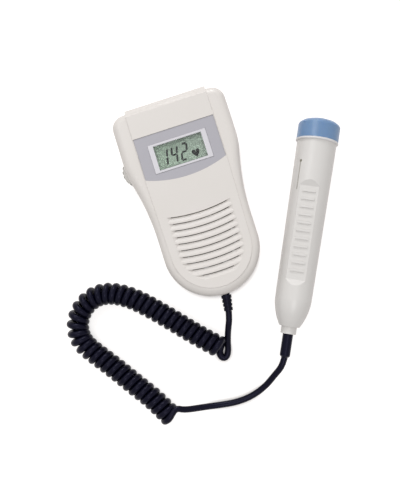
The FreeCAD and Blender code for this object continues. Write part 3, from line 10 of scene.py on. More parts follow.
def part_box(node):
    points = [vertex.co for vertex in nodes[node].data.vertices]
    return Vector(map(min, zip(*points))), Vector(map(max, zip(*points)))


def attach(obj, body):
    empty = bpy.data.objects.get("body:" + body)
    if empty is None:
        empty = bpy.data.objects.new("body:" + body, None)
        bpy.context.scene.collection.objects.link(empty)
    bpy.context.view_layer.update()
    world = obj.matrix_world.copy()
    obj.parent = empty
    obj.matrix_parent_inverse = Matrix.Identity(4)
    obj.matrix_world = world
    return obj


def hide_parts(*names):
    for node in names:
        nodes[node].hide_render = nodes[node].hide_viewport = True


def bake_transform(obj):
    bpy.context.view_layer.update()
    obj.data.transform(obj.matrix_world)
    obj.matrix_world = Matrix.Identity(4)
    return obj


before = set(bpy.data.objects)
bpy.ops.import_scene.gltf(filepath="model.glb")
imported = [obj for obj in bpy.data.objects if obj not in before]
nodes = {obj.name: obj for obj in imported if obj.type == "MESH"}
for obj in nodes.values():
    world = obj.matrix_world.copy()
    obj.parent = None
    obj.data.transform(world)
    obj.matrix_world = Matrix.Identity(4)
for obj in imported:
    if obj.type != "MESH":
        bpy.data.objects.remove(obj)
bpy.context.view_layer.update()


# ---------------------------------------------------------------------------------------
# The studio. A white sweep lit by one broad soft lamp above and to the left, one overhead, one
# behind the display end that catches the brow, and an even white room. The camera looks straight
# down on the table from about an arm's length, turned so that the unit leans to the left.
# ---------------------------------------------------------------------------------------
EYE = Vector((0.00310, -0.07604, 0.458))
AIM = Vector((-0.00811, -0.03415, 0.0))
PICTURE_UP = Vector((0.2993, 0.9542, 0.0))
LENS_MM = 46.8
SENSOR_MM = 36.0
NEAREST_SEEN = 0.01

scene = bpy.context.scene
scene.view_settings.view_transform = "Standard"


def facing(eye, aim, up):
    """Where a camera or lamp stands, turned to look at a point."""
    back = (eye - aim).normalized()
    right = up.cross(back).normalized()
    turn = Matrix((right, back.cross(right), back)).transposed().to_4x4()
    return Matrix.Translation(eye) @ turn


camera = bpy.data.objects.new("camera", bpy.data.cameras.new("camera"))
camera.data.lens = LENS_MM
camera.data.sensor_width = SENSOR_MM
camera.data.clip_start = NEAREST_SEEN
camera.matrix_world = facing(EYE, AIM, PICTURE_UP)
scene.collection.objects.link(camera)
scene.camera = camera

PICTURE_LEFT = Vector((-PICTURE_UP.y, PICTURE_UP.x, 0.0))
UPWARD = Vector((0, 0, 1))
# Where each lamp stands from the point that the camera looks at, how far across it is, and its
# power in watts.
for name, aside, above, height, across, watts in (
        ("key_lamp", 0.95, 0.98, 2.10, 0.90, 10.5),
        ("overhead_lamp", -0.10, -0.55, 1.60, 0.50, 5.5),
        ("brow_lamp", 0.10, 1.30, 0.65, 0.40, 7.0)):
    lamp = bpy.data.objects.new(name, bpy.data.lights.new(name, "AREA"))
    lamp.data.size = across
    lamp.data.energy = watts
    stand = AIM + PICTURE_LEFT * aside + PICTURE_UP * above + UPWARD * height
    lamp.matrix_world = facing(stand, AIM, UPWARD)
    scene.collection.objects.link(lamp)


def add(owner, kind, inputs=(), **settings):
    """Adds a node to a material or world, with its settings, and fills its inputs by name or number
    with a value or with another node's output."""
    node = owner.node_tree.nodes.new(kind)
    for key, value in settings.items():
        setattr(node, key, value)
    for key, value in dict(inputs).items():
        if isinstance(value, bpy.types.NodeSocket):
            owner.node_tree.links.new(value, node.inputs[key])
        else:
            node.inputs[key].default_value = value
    return node


def blank(owner):
    """A material or world with an empty node tree."""
    owner.use_nodes = True
    owner.node_tree.nodes.clear()
    return owner


def seen(owner):
    """1 for what the camera sees, straight, through glass or in a reflection, and 0 for the light
    that falls on the object."""
    path = add(owner, "ShaderNodeLightPath")
    mirror = add(owner, "ShaderNodeMath", {
        0: path.outputs["Is Camera Ray"], 1: path.outputs["Is Glossy Ray"]}, operation="MAXIMUM")
    either = add(owner, "ShaderNodeMath", {
        0: mirror.outputs[0], 1: path.outputs["Is Transmission Ray"]}, operation="MAXIMUM")
    return either.outputs[0]


def linear(code):
    """A colour written as sRGB hex, in the linear values that a shader takes."""
    shares = [int(code[at:at + 2], 16) / 255 for at in (1, 3, 5)]
    return [((v + 0.055) / 1.055) ** 2.4 if v > 0.04045 else v / 12.92 for v in shares] + [1.0]


ROOM_LIGHT = 0.57
room = blank(bpy.data.worlds.new("white_room"))
strength = add(room, "ShaderNodeMapRange", {
    "Value": seen(room), "To Min": ROOM_LIGHT, "To Max": 1.0})
backdrop = add(room, "ShaderNodeBackground", {
    "Color": linear("#FFFFFF"), "Strength": strength.outputs[0]})
add(room, "ShaderNodeOutputWorld", {"Surface": backdrop.outputs[0]})
scene.world = room

FLOOR_HALF = 3.0
FLOOR_DROP = 0.0001
FLOOR_GLOW = 0.76
GAP_REACH = 0.003
GAP_SAMPLES = 8
# Matt paper: white, without a highlight, and a little warm in the light that it throws back. Its
# glow is dimmed by painted shade in narrow gaps, such as those between the cord's turns.
paper = blank(bpy.data.materials.new("white_paper"))
matte = add(paper, "ShaderNodeBsdfDiffuse", {"Color": linear("#BCB6B3")})
glow = add(paper, "ShaderNodeMath", {0: seen(paper), 1: FLOOR_GLOW}, operation="MULTIPLY")
gap_shade = add(paper, "ShaderNodeAmbientOcclusion", {"Distance": GAP_REACH}, samples=GAP_SAMPLES)
open_glow = add(paper, "ShaderNodeMath", {
    0: glow.outputs[0], 1: gap_shade.outputs["AO"]}, operation="MULTIPLY")
light = add(paper, "ShaderNodeEmission", {"Strength": open_glow.outputs[0]})
both = add(paper, "ShaderNodeAddShader", {0: matte.outputs[0], 1: light.outputs[0]})
add(paper, "ShaderNodeOutputMaterial", {"Surface": both.outputs[0]})

corners = [(-FLOOR_HALF, -FLOOR_HALF, 0), (FLOOR_HALF, -FLOOR_HALF, 0),
           (FLOOR_HALF, FLOOR_HALF, 0), (-FLOOR_HALF, FLOOR_HALF, 0)]
sweep = bpy.data.meshes.new("table_sweep")
sweep.from_pydata(corners, [], [(0, 1, 2, 3)])
sweep.materials.append(paper)
table_sweep = bpy.data.objects.new("table_sweep", sweep)
table_sweep.location.z = -FLOOR_DROP
scene.collection.objects.link(table_sweep)


# ---------------------------------------------------------------------------------------
# The case: front and rear shell and the battery door, moulded in ivory ABS from tools whose
# faces are spark eroded to a fine satin grain. The front shell's brow wraps the display end.
# ---------------------------------------------------------------------------------------
# A Mix node's two colours and its mixed colour share their names with its other sockets, so they
# go by number.
COLOUR_A, COLOUR_B, MIXED = 6, 7, 2


def per_metre(size_mm):
    """The scale at which a pattern of that size repeats, for coordinates in metres."""
    return 1000.0 / size_mm


def moulded(name, colour, shade, roughness, grain_mm, depth_mm, ior, cloud_mm=25.0, shine=0.5):
    """A moulded plastic or rubber: the melt's faint clouds between two colours, and the mould's
    grain, which is drawn coarse enough to show."""
    material = blank(bpy.data.materials.new(name))
    place = add(material, "ShaderNodeTexCoord").outputs["Object"]
    cloud = add(material, "ShaderNodeTexNoise", {
        "Vector": place, "Scale": per_metre(cloud_mm), "Detail": 3.0})
    tint = add(material, "ShaderNodeMix", {
        "Factor": cloud.outputs[0], COLOUR_A: linear(colour), COLOUR_B: linear(shade)},
        data_type="RGBA")
    grain = add(material, "ShaderNodeTexNoise", {
        "Vector": place, "Scale": per_metre(grain_mm), "Detail": 2.0})
    relief = add(material, "ShaderNodeBump", {
        "Height": grain.outputs[0], "Distance": depth_mm / 1000})
    skin = add(material, "ShaderNodeBsdfPrincipled", {
        "Base Color": tint.outputs[MIXED], "Roughness": roughness, "IOR": ior,
        "Specular IOR Level": shine, "Normal": relief.outputs[0]})
    add(material, "ShaderNodeOutputMaterial", {"Surface": skin.outputs[0]})
    return material


def dress(material, *names):
    """Puts a material in every slot of these CAD nodes."""
    for name in names:
        for slot in nodes[name].material_slots:
            slot.material = material


ABS_IOR = 1.53
# Satin ABS: soft broad highlights, and an even warm white that never looks wet.
abs_case = moulded("ivory_abs_satin", "#DAD5D1", "#D6D1CC",
                   roughness=0.38, grain_mm=0.45, depth_mm=0.012, ior=ABS_IOR)
dress(abs_case, "rear_shell", "front_shell", "battery_door")


# ---------------------------------------------------------------------------------------
# The supply: two AA cells in printed steel jackets, nickel-plated contact plates in the ends
# of the bay, and a spring for each cell's flat end.
# ---------------------------------------------------------------------------------------
CELL_FROM = -0.060
CELL_TO = -0.006
BAND_FROM = -0.016
# Lacquered print on steel: a tight clear highlight over an opaque colour, dark green with a gold
# band at one end.
jacket = blank(bpy.data.materials.new("printed_steel_jacket"))
along = add(jacket, "ShaderNodeSeparateXYZ", {
    "Vector": add(jacket, "ShaderNodeTexCoord").outputs["Object"]})
share = add(jacket, "ShaderNodeMapRange", {
    "Value": along.outputs["Y"], "From Min": CELL_FROM, "From Max": CELL_TO})
bands = add(jacket, "ShaderNodeValToRGB", {"Fac": share.outputs[0]})
bands.color_ramp.interpolation = "CONSTANT"
bands.color_ramp.elements[0].color = linear("#2C4A42")
bands.color_ramp.elements[1].position = (BAND_FROM - CELL_FROM) / (CELL_TO - CELL_FROM)
bands.color_ramp.elements[1].color = linear("#B08A3C")
foil = add(jacket, "ShaderNodeBsdfPrincipled", {
    "Base Color": bands.outputs[0], "Roughness": 0.28, "Metallic": 0.35})
add(jacket, "ShaderNodeOutputMaterial", {"Surface": foil.outputs[0]})
dress(jacket, "battery_left", "battery_right")

# Streaks run along X, ten times as long as they are wide, and swing the gloss by this much.
STREAK_SQUEEZE = 0.1
GLOSS_SWING = 0.08


def plated(name, colour, roughness, streak_mm):
    """A rolled or plated metal: polished, with faint streaks along the rolling."""
    material = blank(bpy.data.materials.new(name))
    place = add(material, "ShaderNodeMapping", {
        "Vector": add(material, "ShaderNodeTexCoord").outputs["Object"],
        "Scale": (STREAK_SQUEEZE, 1.0, 1.0)})
    streak = add(material, "ShaderNodeTexNoise", {
        "Vector": place.outputs[0], "Scale": per_metre(streak_mm), "Detail": 3.0})
    rough = add(material, "ShaderNodeMapRange", {
        "Value": streak.outputs[0],
        "To Min": roughness - GLOSS_SWING, "To Max": roughness + GLOSS_SWING})
    metal = add(material, "ShaderNodeBsdfPrincipled", {
        "Base Color": linear(colour), "Metallic": 1.0, "Roughness": rough.outputs[0]})
    add(material, "ShaderNodeOutputMaterial", {"Surface": metal.outputs[0]})
    return material


# Nickel plate: bright, a little yellow beside chrome.
nickel = plated("nickel_plate", "#C9C4B8", roughness=0.25, streak_mm=0.6)
dress(nickel, "battery_contacts", "battery_springs")


# ---------------------------------------------------------------------------------------
# The circuit board: green glass-fibre laminate. Its packages, the volume control and the
# headphone socket are moulded in black epoxy, and the control turns on a steel spindle.
# ---------------------------------------------------------------------------------------
TRACK_MM = 3.2
# How far a track reaches from the line between two cells of the pattern, and where it has ended.
TRACK_HALF = 0.03
TRACK_ENDED = 0.05
# Solder mask: a glossy green lacquer, paler over the copper tracks than between them.
laminate = blank(bpy.data.materials.new("solder_masked_laminate"))
place = add(laminate, "ShaderNodeTexCoord").outputs["Object"]
tracks = add(laminate, "ShaderNodeTexVoronoi", {"Vector": place, "Scale": per_metre(TRACK_MM)},
             distance="MANHATTAN", feature="DISTANCE_TO_EDGE")
between = add(laminate, "ShaderNodeMapRange", {
    "Value": tracks.outputs[0], "From Min": TRACK_HALF, "From Max": TRACK_ENDED})
mask = add(laminate, "ShaderNodeMix", {
    "Factor": between.outputs[0], COLOUR_A: linear("#2E8A55"), COLOUR_B: linear("#17603A")},
    data_type="RGBA")
lacquer = add(laminate, "ShaderNodeBsdfPrincipled", {
    "Base Color": mask.outputs[MIXED], "Roughness": 0.3})
add(laminate, "ShaderNodeOutputMaterial", {"Surface": lacquer.outputs[0]})
dress(laminate, "main_board", "probe_board")

# Moulded epoxy: black and almost without shine.
epoxy = moulded("black_moulded_epoxy", "#1C1C1E", "#232325",
                roughness=0.6, grain_mm=0.2, depth_mm=0.01, ior=1.55)
dress(epoxy, "board_chips", "probe_amplifier", "volume_control", "headphone_socket")
# Turned steel: grey, with the fine streaks that the tool leaves.
steel = plated("turned_steel", "#A9ABAE", roughness=0.3, streak_mm=0.2)
dress(steel, "volume_shaft")


# ---------------------------------------------------------------------------------------
# The speaker: a pressed basket of zinc-plated steel, a black polyester cone and a plated
# magnet, clamped behind the louvres.
# ---------------------------------------------------------------------------------------
# Zinc plate: a cool grey, duller than nickel. The case's screws have the same finish.
zinc = plated("zinc_plated_steel", "#B4B6B8", roughness=0.38, streak_mm=0.8)
dress(zinc, "speaker_basket", "speaker_magnet", "case_screws")
# Polyester film: thin, dark and silky.
film = moulded("black_polyester_film", "#141416", "#1D1D20",
               roughness=0.4, grain_mm=1.2, depth_mm=0.02, ior=1.6)
dress(film, "speaker_cone")


# ---------------------------------------------------------------------------------------
# The display: a reflective liquid crystal on two rubber contact strips, its segments in the
# front glass, the silver-painted frame with its clear window, and the lilac panel around it.
# ---------------------------------------------------------------------------------------
glass_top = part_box("display_glass")[1].z
window_low, window_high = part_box("display_window")

PEARL_MM = 0.3
# Reflector behind a polariser: green-grey and slightly pearly, with a painted reflection that makes
# it a little lighter to the right.
reflector = blank(bpy.data.materials.new("lcd_reflector"))
place = add(reflector, "ShaderNodeTexCoord").outputs["Object"]
pearl = add(reflector, "ShaderNodeTexNoise", {
    "Vector": place, "Scale": per_metre(PEARL_MM), "Detail": 2.0})
across = add(reflector, "ShaderNodeSeparateXYZ", {"Vector": place})
side = add(reflector, "ShaderNodeMapRange", {
    "Value": across.outputs["X"], "From Min": window_low.x, "From Max": window_high.x})
painted_reflection = add(reflector, "ShaderNodeMix", {
    "Factor": side.outputs[0], COLOUR_A: linear("#798979"), COLOUR_B: linear("#7D887D")},
    data_type="RGBA")
speck = add(reflector, "ShaderNodeMapRange", {
    "Value": pearl.outputs[0], "To Min": 0.40, "To Max": 0.55})
sheet = add(reflector, "ShaderNodeBsdfPrincipled", {
    "Base Color": painted_reflection.outputs[MIXED], "Roughness": speck.outputs[0]})
add(reflector, "ShaderNodeOutputMaterial", {"Surface": sheet.outputs[0]})
dress(reflector, "display_glass")

STRIPE_MM = 0.5
# Zebra strip: silicone in layers, pink with thin black conducting ones. They are drawn coarse
# enough to show.
zebra = blank(bpy.data.materials.new("layered_silicone"))
along = add(zebra, "ShaderNodeSeparateXYZ", {
    "Vector": add(zebra, "ShaderNodeTexCoord").outputs["Object"]})
layer = add(zebra, "ShaderNodeMath", {
    0: along.outputs["X"], 1: per_metre(STRIPE_MM)}, operation="MULTIPLY")
stripe = add(zebra, "ShaderNodeMath", {0: layer.outputs[0], 1: 1.0}, operation="PINGPONG")
strip = add(zebra, "ShaderNodeMix", {
    "Factor": stripe.outputs[0], COLOUR_A: linear("#D9A0A8"), COLOUR_B: linear("#5A3A40")},
    data_type="RGBA")
silicone = add(zebra, "ShaderNodeBsdfPrincipled", {
    "Base Color": strip.outputs[MIXED], "Roughness": 0.6})
add(zebra, "ShaderNodeOutputMaterial", {"Surface": silicone.outputs[0]})
dress(zebra, "contact_strips")

# The reading, three slanted seven-segment digits and a plain heart beside them.
READING = "142"
LIT = {"1": "bc", "2": "abged", "4": "fgbc"}
DIGIT_HIGH = 0.0109
DIGIT_WIDE = 0.0036
DIGIT_PITCH = 0.0069
DIGIT_FOOT = Vector((-0.0145, 0.0252))
SLANT = math.tan(math.radians(13.0))
STROKE = 0.00128
SEGMENT_GAP = 0.00012
SEGMENT_THICK = 0.00003

# Which corners of the digit, as shares of its width and height, each segment joins.
SEGMENTS = {
    "a": ((0, 1), (1, 1)), "b": ((1, 1), (1, 0.5)), "c": ((1, 0.5), (1, 0)),
    "d": ((0, 0), (1, 0)), "e": ((0, 0.5), (0, 0)), "f": ((0, 1), (0, 0.5)),
    "g": ((0, 0.5), (1, 0.5)),
}


def thin_plate(outline, mesh):
    """A flat plate of segment thickness on the liquid crystal, from its outline."""
    foot, top = [[mesh.verts.new((x, y, glass_top + rise)) for x, y in outline]
                 for rise in (0.0, SEGMENT_THICK)]
    mesh.faces.new(foot)
    mesh.faces.new(top)
    for at in range(len(outline)):
        mesh.faces.new((foot[at - 1], foot[at], top[at], top[at - 1]))


def piece(name, mesh, body, material):
    """Turns a bmesh into a visible piece that rides on a body."""
    bmesh.ops.recalc_face_normals(mesh, faces=mesh.faces)
    data = bpy.data.meshes.new(name)
    mesh.to_mesh(data)
    mesh.free()
    data.materials.append(material)
    made = bpy.data.objects.new(name, data)
    scene.collection.objects.link(made)
    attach(made, body)


# Switched liquid crystal: nearly black, with the reflector's green in it.
crystal = moulded("switched_liquid_crystal", "#020403", "#050706",
                  roughness=0.6, grain_mm=0.3, depth_mm=0.001, ior=1.5, shine=0.1)

digits = bmesh.new()
for number, digit in enumerate(READING):
    foot = DIGIT_FOOT + Vector((number * DIGIT_PITCH, 0))
    for name in LIT[digit]:
        ends = [Vector((u * DIGIT_WIDE, v * DIGIT_HIGH)) for u, v in SEGMENTS[name]]
        way = (ends[1] - ends[0]).normalized()
        ends = [ends[0] + way * SEGMENT_GAP, ends[1] - way * SEGMENT_GAP]
        half, beside = STROKE / 2, Vector((-way.y, way.x)) * STROKE / 2
        outline = [ends[0], ends[0] + way * half + beside, ends[1] - way * half + beside,
                   ends[1], ends[1] - way * half - beside, ends[0] + way * half - beside]
        thin_plate([(foot.x + p.x + p.y * SLANT, foot.y + p.y) for p in outline], digits)
piece("lcd_reading", digits, "unit", crystal)

HEART_AT = Vector((0.0098, 0.0241))
HEART_WIDE = 0.0054
HEART_HIGH = 0.0066
HEART_POINTS = 48
# The usual heart curve, which is 32 of its own units wide and has its tip at -17.
HEART_SPAN = 32
HEART_TIP = -17
# How much deeper the notch is, as a share of the height, and how sharply that fades beside it.
NOTCH_DEEPER = 0.15
NOTCH_FADES = 12
heart = bmesh.new()
outline = []
for step in range(HEART_POINTS):
    turn = 2 * math.pi * step / HEART_POINTS
    curve = (13 * math.cos(turn) - 5 * math.cos(2 * turn) - 2 * math.cos(3 * turn)
             - math.cos(4 * turn))
    across_share = math.sin(turn) ** 3 / 2
    up_share = ((curve - HEART_TIP) / HEART_SPAN
                - NOTCH_DEEPER * max(0.0, math.cos(turn)) ** NOTCH_FADES)
    outline.append((HEART_AT.x + across_share * HEART_WIDE, HEART_AT.y + up_share * HEART_HIGH))
thin_plate(outline, heart)
piece("lcd_heart", heart, "unit", crystal)

FLAKE_MM = 0.25
# Silver paint on ABS: cool white, with metal flakes that tighten the highlight. The flakes are
# drawn coarse enough to show.
paint = blank(bpy.data.materials.new("silver_painted_abs"))
place = add(paint, "ShaderNodeTexCoord").outputs["Object"]
flake = add(paint, "ShaderNodeTexVoronoi", {"Vector": place, "Scale": per_metre(FLAKE_MM)})
shine = add(paint, "ShaderNodeMapRange", {
    "Value": flake.outputs[0], "To Min": 0.32, "To Max": 0.48})
coat = add(paint, "ShaderNodeBsdfPrincipled", {
    "Base Color": linear("#CBC9CE"), "Metallic": 0.15, "Roughness": shine.outputs[0]})
add(paint, "ShaderNodeOutputMaterial", {"Surface": coat.outputs[0]})
dress(paint, "display_frame")

RIPPLE_MM = 12.0
RIPPLE_DEEP = 0.00002
# Cast acrylic with a matt coat: clear, with less glare than bare acrylic. The lamps shine
# through it.
acrylic = blank(bpy.data.materials.new("clear_acrylic"))
place = add(acrylic, "ShaderNodeTexCoord").outputs["Object"]
wave = add(acrylic, "ShaderNodeTexNoise", {"Vector": place, "Scale": per_metre(RIPPLE_MM)})
ripple = add(acrylic, "ShaderNodeBump", {"Height": wave.outputs[0], "Distance": RIPPLE_DEEP})
pane = add(acrylic, "ShaderNodeBsdfPrincipled", {
    "Base Color": linear("#F4F8F6"), "Transmission Weight": 1.0, "Roughness": 0.02, "IOR": 1.40,
    "Normal": ripple.outputs[0]})
add(acrylic, "ShaderNodeOutputMaterial", {"Surface": pane.outputs[0]})
dress(acrylic, "display_window")
nodes["display_window"].visible_shadow = False

# Silk-screened polycarbonate: a flat cool lilac-grey with the print's fine tooth.
lilac = moulded("lilac_printed_polycarbonate", "#A9A7AE", "#A5A3AA",
                roughness=0.42, grain_mm=0.35, depth_mm=0.006, ior=1.58)
dress(lilac, "display_panel")


# ---------------------------------------------------------------------------------------
# The volume wheel: a knurled thumbwheel in off-white ABS, pushed onto the control's spindle so
# that its rim stands out of the slot in the left edge.
# ---------------------------------------------------------------------------------------
KNURLS = 20
RIDGE_INSIDE = 0.0102
RIDGE_OUTSIDE = 0.0108
# How far down the wave that runs round the rim the ridges' grey painted shade starts, and where it
# is full.
RIDGE_SHADE_FROM = 0.2
RIDGE_SHADE_FULL = -0.6
wheel_low, wheel_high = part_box("volume_wheel")
hub = (wheel_low + wheel_high) / 2


def cover(material, share, colour):
    """Lays one more colour over a moulded material's own, where share is 1."""
    skin = next(n for n in material.node_tree.nodes if n.type == "BSDF_PRINCIPLED")
    own = skin.inputs["Base Color"].links[0].from_socket
    laid = add(material, "ShaderNodeMix", {
        "Factor": share, COLOUR_A: own, COLOUR_B: linear(colour)}, data_type="RGBA")
    material.node_tree.links.new(laid.outputs[MIXED], skin.inputs["Base Color"])


# Off-white ABS, with grey painted shade on the ridges of its rim, where they turn down.
wheel_abs = moulded("ridge_shaded_wheel_abs", "#CFCCC8", "#CAC7C2",
                    roughness=0.5, grain_mm=0.4, depth_mm=0.01, ior=ABS_IOR)
from_hub = add(wheel_abs, "ShaderNodeVectorMath", {
    0: add(wheel_abs, "ShaderNodeTexCoord").outputs["Object"], 1: (hub.x, hub.y, hub.z)},
    operation="SUBTRACT")
parts = add(wheel_abs, "ShaderNodeSeparateXYZ", {"Vector": from_hub.outputs[0]})
round_it = add(wheel_abs, "ShaderNodeMath", {
    0: parts.outputs["Y"], 1: parts.outputs["X"]}, operation="ARCTAN2")
knurl = add(wheel_abs, "ShaderNodeMath", {
    0: round_it.outputs[0], 1: float(KNURLS)}, operation="MULTIPLY")
wave = add(wheel_abs, "ShaderNodeMath", {0: knurl.outputs[0]}, operation="COSINE")
ridge = add(wheel_abs, "ShaderNodeMapRange", {
    "Value": wave.outputs[0], "From Min": RIDGE_SHADE_FROM, "From Max": RIDGE_SHADE_FULL})
flat = add(wheel_abs, "ShaderNodeCombineXYZ", {"X": parts.outputs["X"], "Y": parts.outputs["Y"]})
reach = add(wheel_abs, "ShaderNodeVectorMath", {0: flat.outputs[0]}, operation="LENGTH")
rim = add(wheel_abs, "ShaderNodeMapRange", {
    "Value": reach.outputs["Value"], "From Min": RIDGE_INSIDE, "From Max": RIDGE_OUTSIDE})
ridge_shade = add(wheel_abs, "ShaderNodeMath", {
    0: ridge.outputs[0], 1: rim.outputs[0]}, operation="MULTIPLY")
# Grey painted shade on the ridges of the rim.
cover(wheel_abs, ridge_shade.outputs[0], "#7E807B")
dress(wheel_abs, "volume_wheel")


# ---------------------------------------------------------------------------------------
# The cord: a curly lead in blue-black soft PVC, moulded on a mandrel in left-handed turns.
# It leaves the unit through a rubber boot, lies on the table in a long bend and goes into
# the probe's sleeve.
# ---------------------------------------------------------------------------------------
WIRE = 0.0044
COIL_ACROSS = 0.0156
COIL_WIRE = 0.0049
TURNS = 41.53
STEPS_A_TURN = 14
UNIT_LEAD = [
    (-0.001596, -0.080831, 0.0125), (-0.0029, -0.0865, 0.0123), (-0.0052, -0.0915, 0.0104),
    (-0.0073, -0.0968, 0.0070), (-0.0091, -0.1024, 0.0042), (-0.0104, -0.1077, 0.0029),
    (-0.0129, -0.1113, 0.0025), (-0.0158, -0.1107, 0.0026), (-0.0168, -0.1066, 0.0026),
]
# How many of the lead's last points are already as thick as the coil.
WOUND_BEFORE = 2
COIL_HEIGHT = 0.00784
COIL_AXIS = [
    (-0.0144, -0.1033), (-0.0246, -0.0935), (-0.0409, -0.0751), (-0.0563, -0.0586),
    (-0.0662, -0.0502), (-0.0762, -0.0447), (-0.0867, -0.0433), (-0.0963, -0.0471),
    (-0.1028, -0.0540), (-0.1060, -0.0626), (-0.1050, -0.0714), (-0.1003, -0.0791),
    (-0.0903, -0.0922), (-0.0768, -0.1119), (-0.0684, -0.1234), (-0.0608, -0.1376),
]
PROBE_LEAD = [
    (-0.0558, -0.1326, 0.0128), (-0.0515, -0.1353, 0.0110), (-0.0465, -0.1369, 0.0084),
    (-0.0380, -0.1386, 0.0050), (-0.0271, -0.1408, 0.0027), (-0.0160, -0.1424, 0.0024),
    (-0.0042, -0.1417, 0.0026), (0.0073, -0.1374, 0.0046), (0.0152, -0.1316, 0.0082),
    (0.0217, -0.1273, 0.0115), (0.02487, -0.1222, 0.01161),
]
# Where the first turn starts, as an angle from the left of the coil towards the top of it.
FIRST_TURN_AT = math.radians(-80.0)
# The bend lies between these shares of the coil's length, and its turns stand this much wider
# apart.
BEND_FROM = 0.40
BEND_TO = 0.61
BEND_OPENS = 0.12
# How finely the curves are drawn from one point to the next, and how round the jacket is.
AXIS_STEPS = 24
CORD_STEPS = 3
JACKET_ROUNDNESS = 5


def nurbs(name, points, steps, thick=None):
    """A smooth curve object with these control points, and how thick it is at each."""
    curve = bpy.data.curves.new(name, "CURVE")
    curve.dimensions = "3D"
    curve.resolution_u = steps
    spline = curve.splines.new("NURBS")
    spline.points.add(len(points) - 1)
    for knot, point, share in zip(spline.points, points, thick or [1.0] * len(points)):
        knot.co = (*point, 1.0)
        knot.radius = share
    spline.order_u = 3
    spline.use_endpoint_u = True
    return bpy.data.objects.new(name, curve)


def evaluated(made):
    """The mesh of a curve object as Blender draws it, and the object gone."""
    scene.collection.objects.link(made)
    drawn = made.evaluated_get(bpy.context.evaluated_depsgraph_get())
    mesh = bpy.data.meshes.new_from_object(drawn)
    bpy.data.objects.remove(made)
    return mesh


axis_points = [(x, y, COIL_HEIGHT) for x, y in COIL_AXIS]
axis_line = [v.co.copy() for v in evaluated(nurbs("coil_axis", axis_points, AXIS_STEPS)).vertices]
reached = [0.0]
for number, (before, after) in enumerate(zip(axis_line, axis_line[1:])):
    in_bend = BEND_FROM < number / len(axis_line) < BEND_TO
    reached.append(reached[-1] + (after - before).length / (1.0 + BEND_OPENS * in_bend))

# A smooth curve through few points runs inside them, so the turns' points stand further out.
turn_radius = (COIL_ACROSS - COIL_WIRE) / 2 / math.cos(math.pi / STEPS_A_TURN)
steps = round(TURNS * STEPS_A_TURN)
helix, at = [], 0
for step in range(steps + 1):
    distance = reached[-1] * step / steps
    while at < len(reached) - 2 and reached[at + 1] < distance:
        at += 1
    forward = axis_line[at + 1] - axis_line[at]
    centre = axis_line[at] + forward * ((distance - reached[at]) / (reached[at + 1] - reached[at]))
    left = UPWARD.cross(forward).normalized()
    angle = FIRST_TURN_AT - 2 * math.pi * step / STEPS_A_TURN
    helix.append(centre + (left * math.cos(angle) + UPWARD * math.sin(angle)) * turn_radius)

cord_line = UNIT_LEAD + [tuple(p) for p in helix] + PROBE_LEAD
path = [tuple(v.co) for v in evaluated(nurbs("cord_line", cord_line, CORD_STEPS)).vertices]
# The jacket swells a little where it is wound on the mandrel.
thick = ([1.0] * (len(UNIT_LEAD) - WOUND_BEFORE)
         + [COIL_WIRE / WIRE] * (WOUND_BEFORE + len(helix)) + [1.0] * len(PROBE_LEAD))
bevelled = nurbs("curly_cord", cord_line, CORD_STEPS, thick)
bevelled.data.bevel_depth = WIRE / 2
bevelled.data.bevel_resolution = JACKET_ROUNDNESS
bevelled.data.use_fill_caps = True
jacket_mesh = evaluated(bevelled)
curly_cord = bpy.data.objects.new("curly_cord", jacket_mesh)
scene.collection.objects.link(curly_cord)

# Soft PVC: blue-black, with the silky sheen of a satin jacket.
pvc = moulded("blue_black_soft_pvc", "#02020D", "#040413",
              roughness=0.36, grain_mm=0.5, depth_mm=0.01, ior=1.54, cloud_mm=9.0, shine=0.15)
skin = next(n for n in pvc.node_tree.nodes if n.type == "BSDF_PRINCIPLED")
skin.inputs["Specular Tint"].default_value = linear("#D6D4FF")
jacket_mesh.materials.clear()
jacket_mesh.materials.append(pvc)
dress(pvc, "unit_relief", "probe_relief")
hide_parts("cord_unit_lead", "cord_coil", "cord_probe_lead")
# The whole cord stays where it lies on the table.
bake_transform(curly_cord)


# ---------------------------------------------------------------------------------------
# The probe: a one-piece grip in ivory ABS, a pale ring and a translucent blue face cap
# pushed onto its spigot over a rubber ring, with two crystals on an absorber behind it.
# ---------------------------------------------------------------------------------------
# Polished ABS: the same ivory, smoother, so that the grip's facets show as long highlights.
abs_probe = moulded("ivory_abs_polished", "#D7D4D1", "#D3D0CD",
                    roughness=0.36, grain_mm=0.6, depth_mm=0.006, ior=ABS_IOR)
dress(abs_probe, "probe_housing")

# The line and the dot engraved beside the ribs are darkened by grey painted shade, which is fainter
# in the line. Both are laid out in the grip's own axes: its face is at FACE_AT and its length runs
# along
# -Y, turned by its heading, its lean, and the way from its top round to the line.
FACE_AT = (0.0980, 0.0245, 0.0149)
HEADING = math.radians(-26.5)
LEAN = math.radians(1.15)
LINE_TURN = math.radians(-46.5)
LINE_FROM = 0.0311
LINE_TO = 0.0508
LINE_WIDE = 0.0008
LINE_SHADE_SHARE = 0.45
DOT_RADIUS = 0.0011
SHADE_EDGE = 0.0002
axes = (Matrix.Rotation(HEADING, 3, "Z") @ Matrix.Rotation(LEAN, 3, "X")
        @ Matrix.Rotation(LINE_TURN, 3, "Y")).to_euler("XYZ")
here = add(abs_probe, "ShaderNodeMapping", {
    "Vector": add(abs_probe, "ShaderNodeTexCoord").outputs["Object"],
    "Location": FACE_AT, "Rotation": axes}, vector_type="TEXTURE")
parts = add(abs_probe, "ShaderNodeSeparateXYZ", {"Vector": here.outputs[0]})
beside = add(abs_probe, "ShaderNodeMath", {0: parts.outputs["X"]}, operation="ABSOLUTE")
narrow = add(abs_probe, "ShaderNodeMapRange", {
    "Value": beside.outputs[0],
    "From Min": LINE_WIDE / 2 + SHADE_EDGE, "From Max": LINE_WIDE / 2})
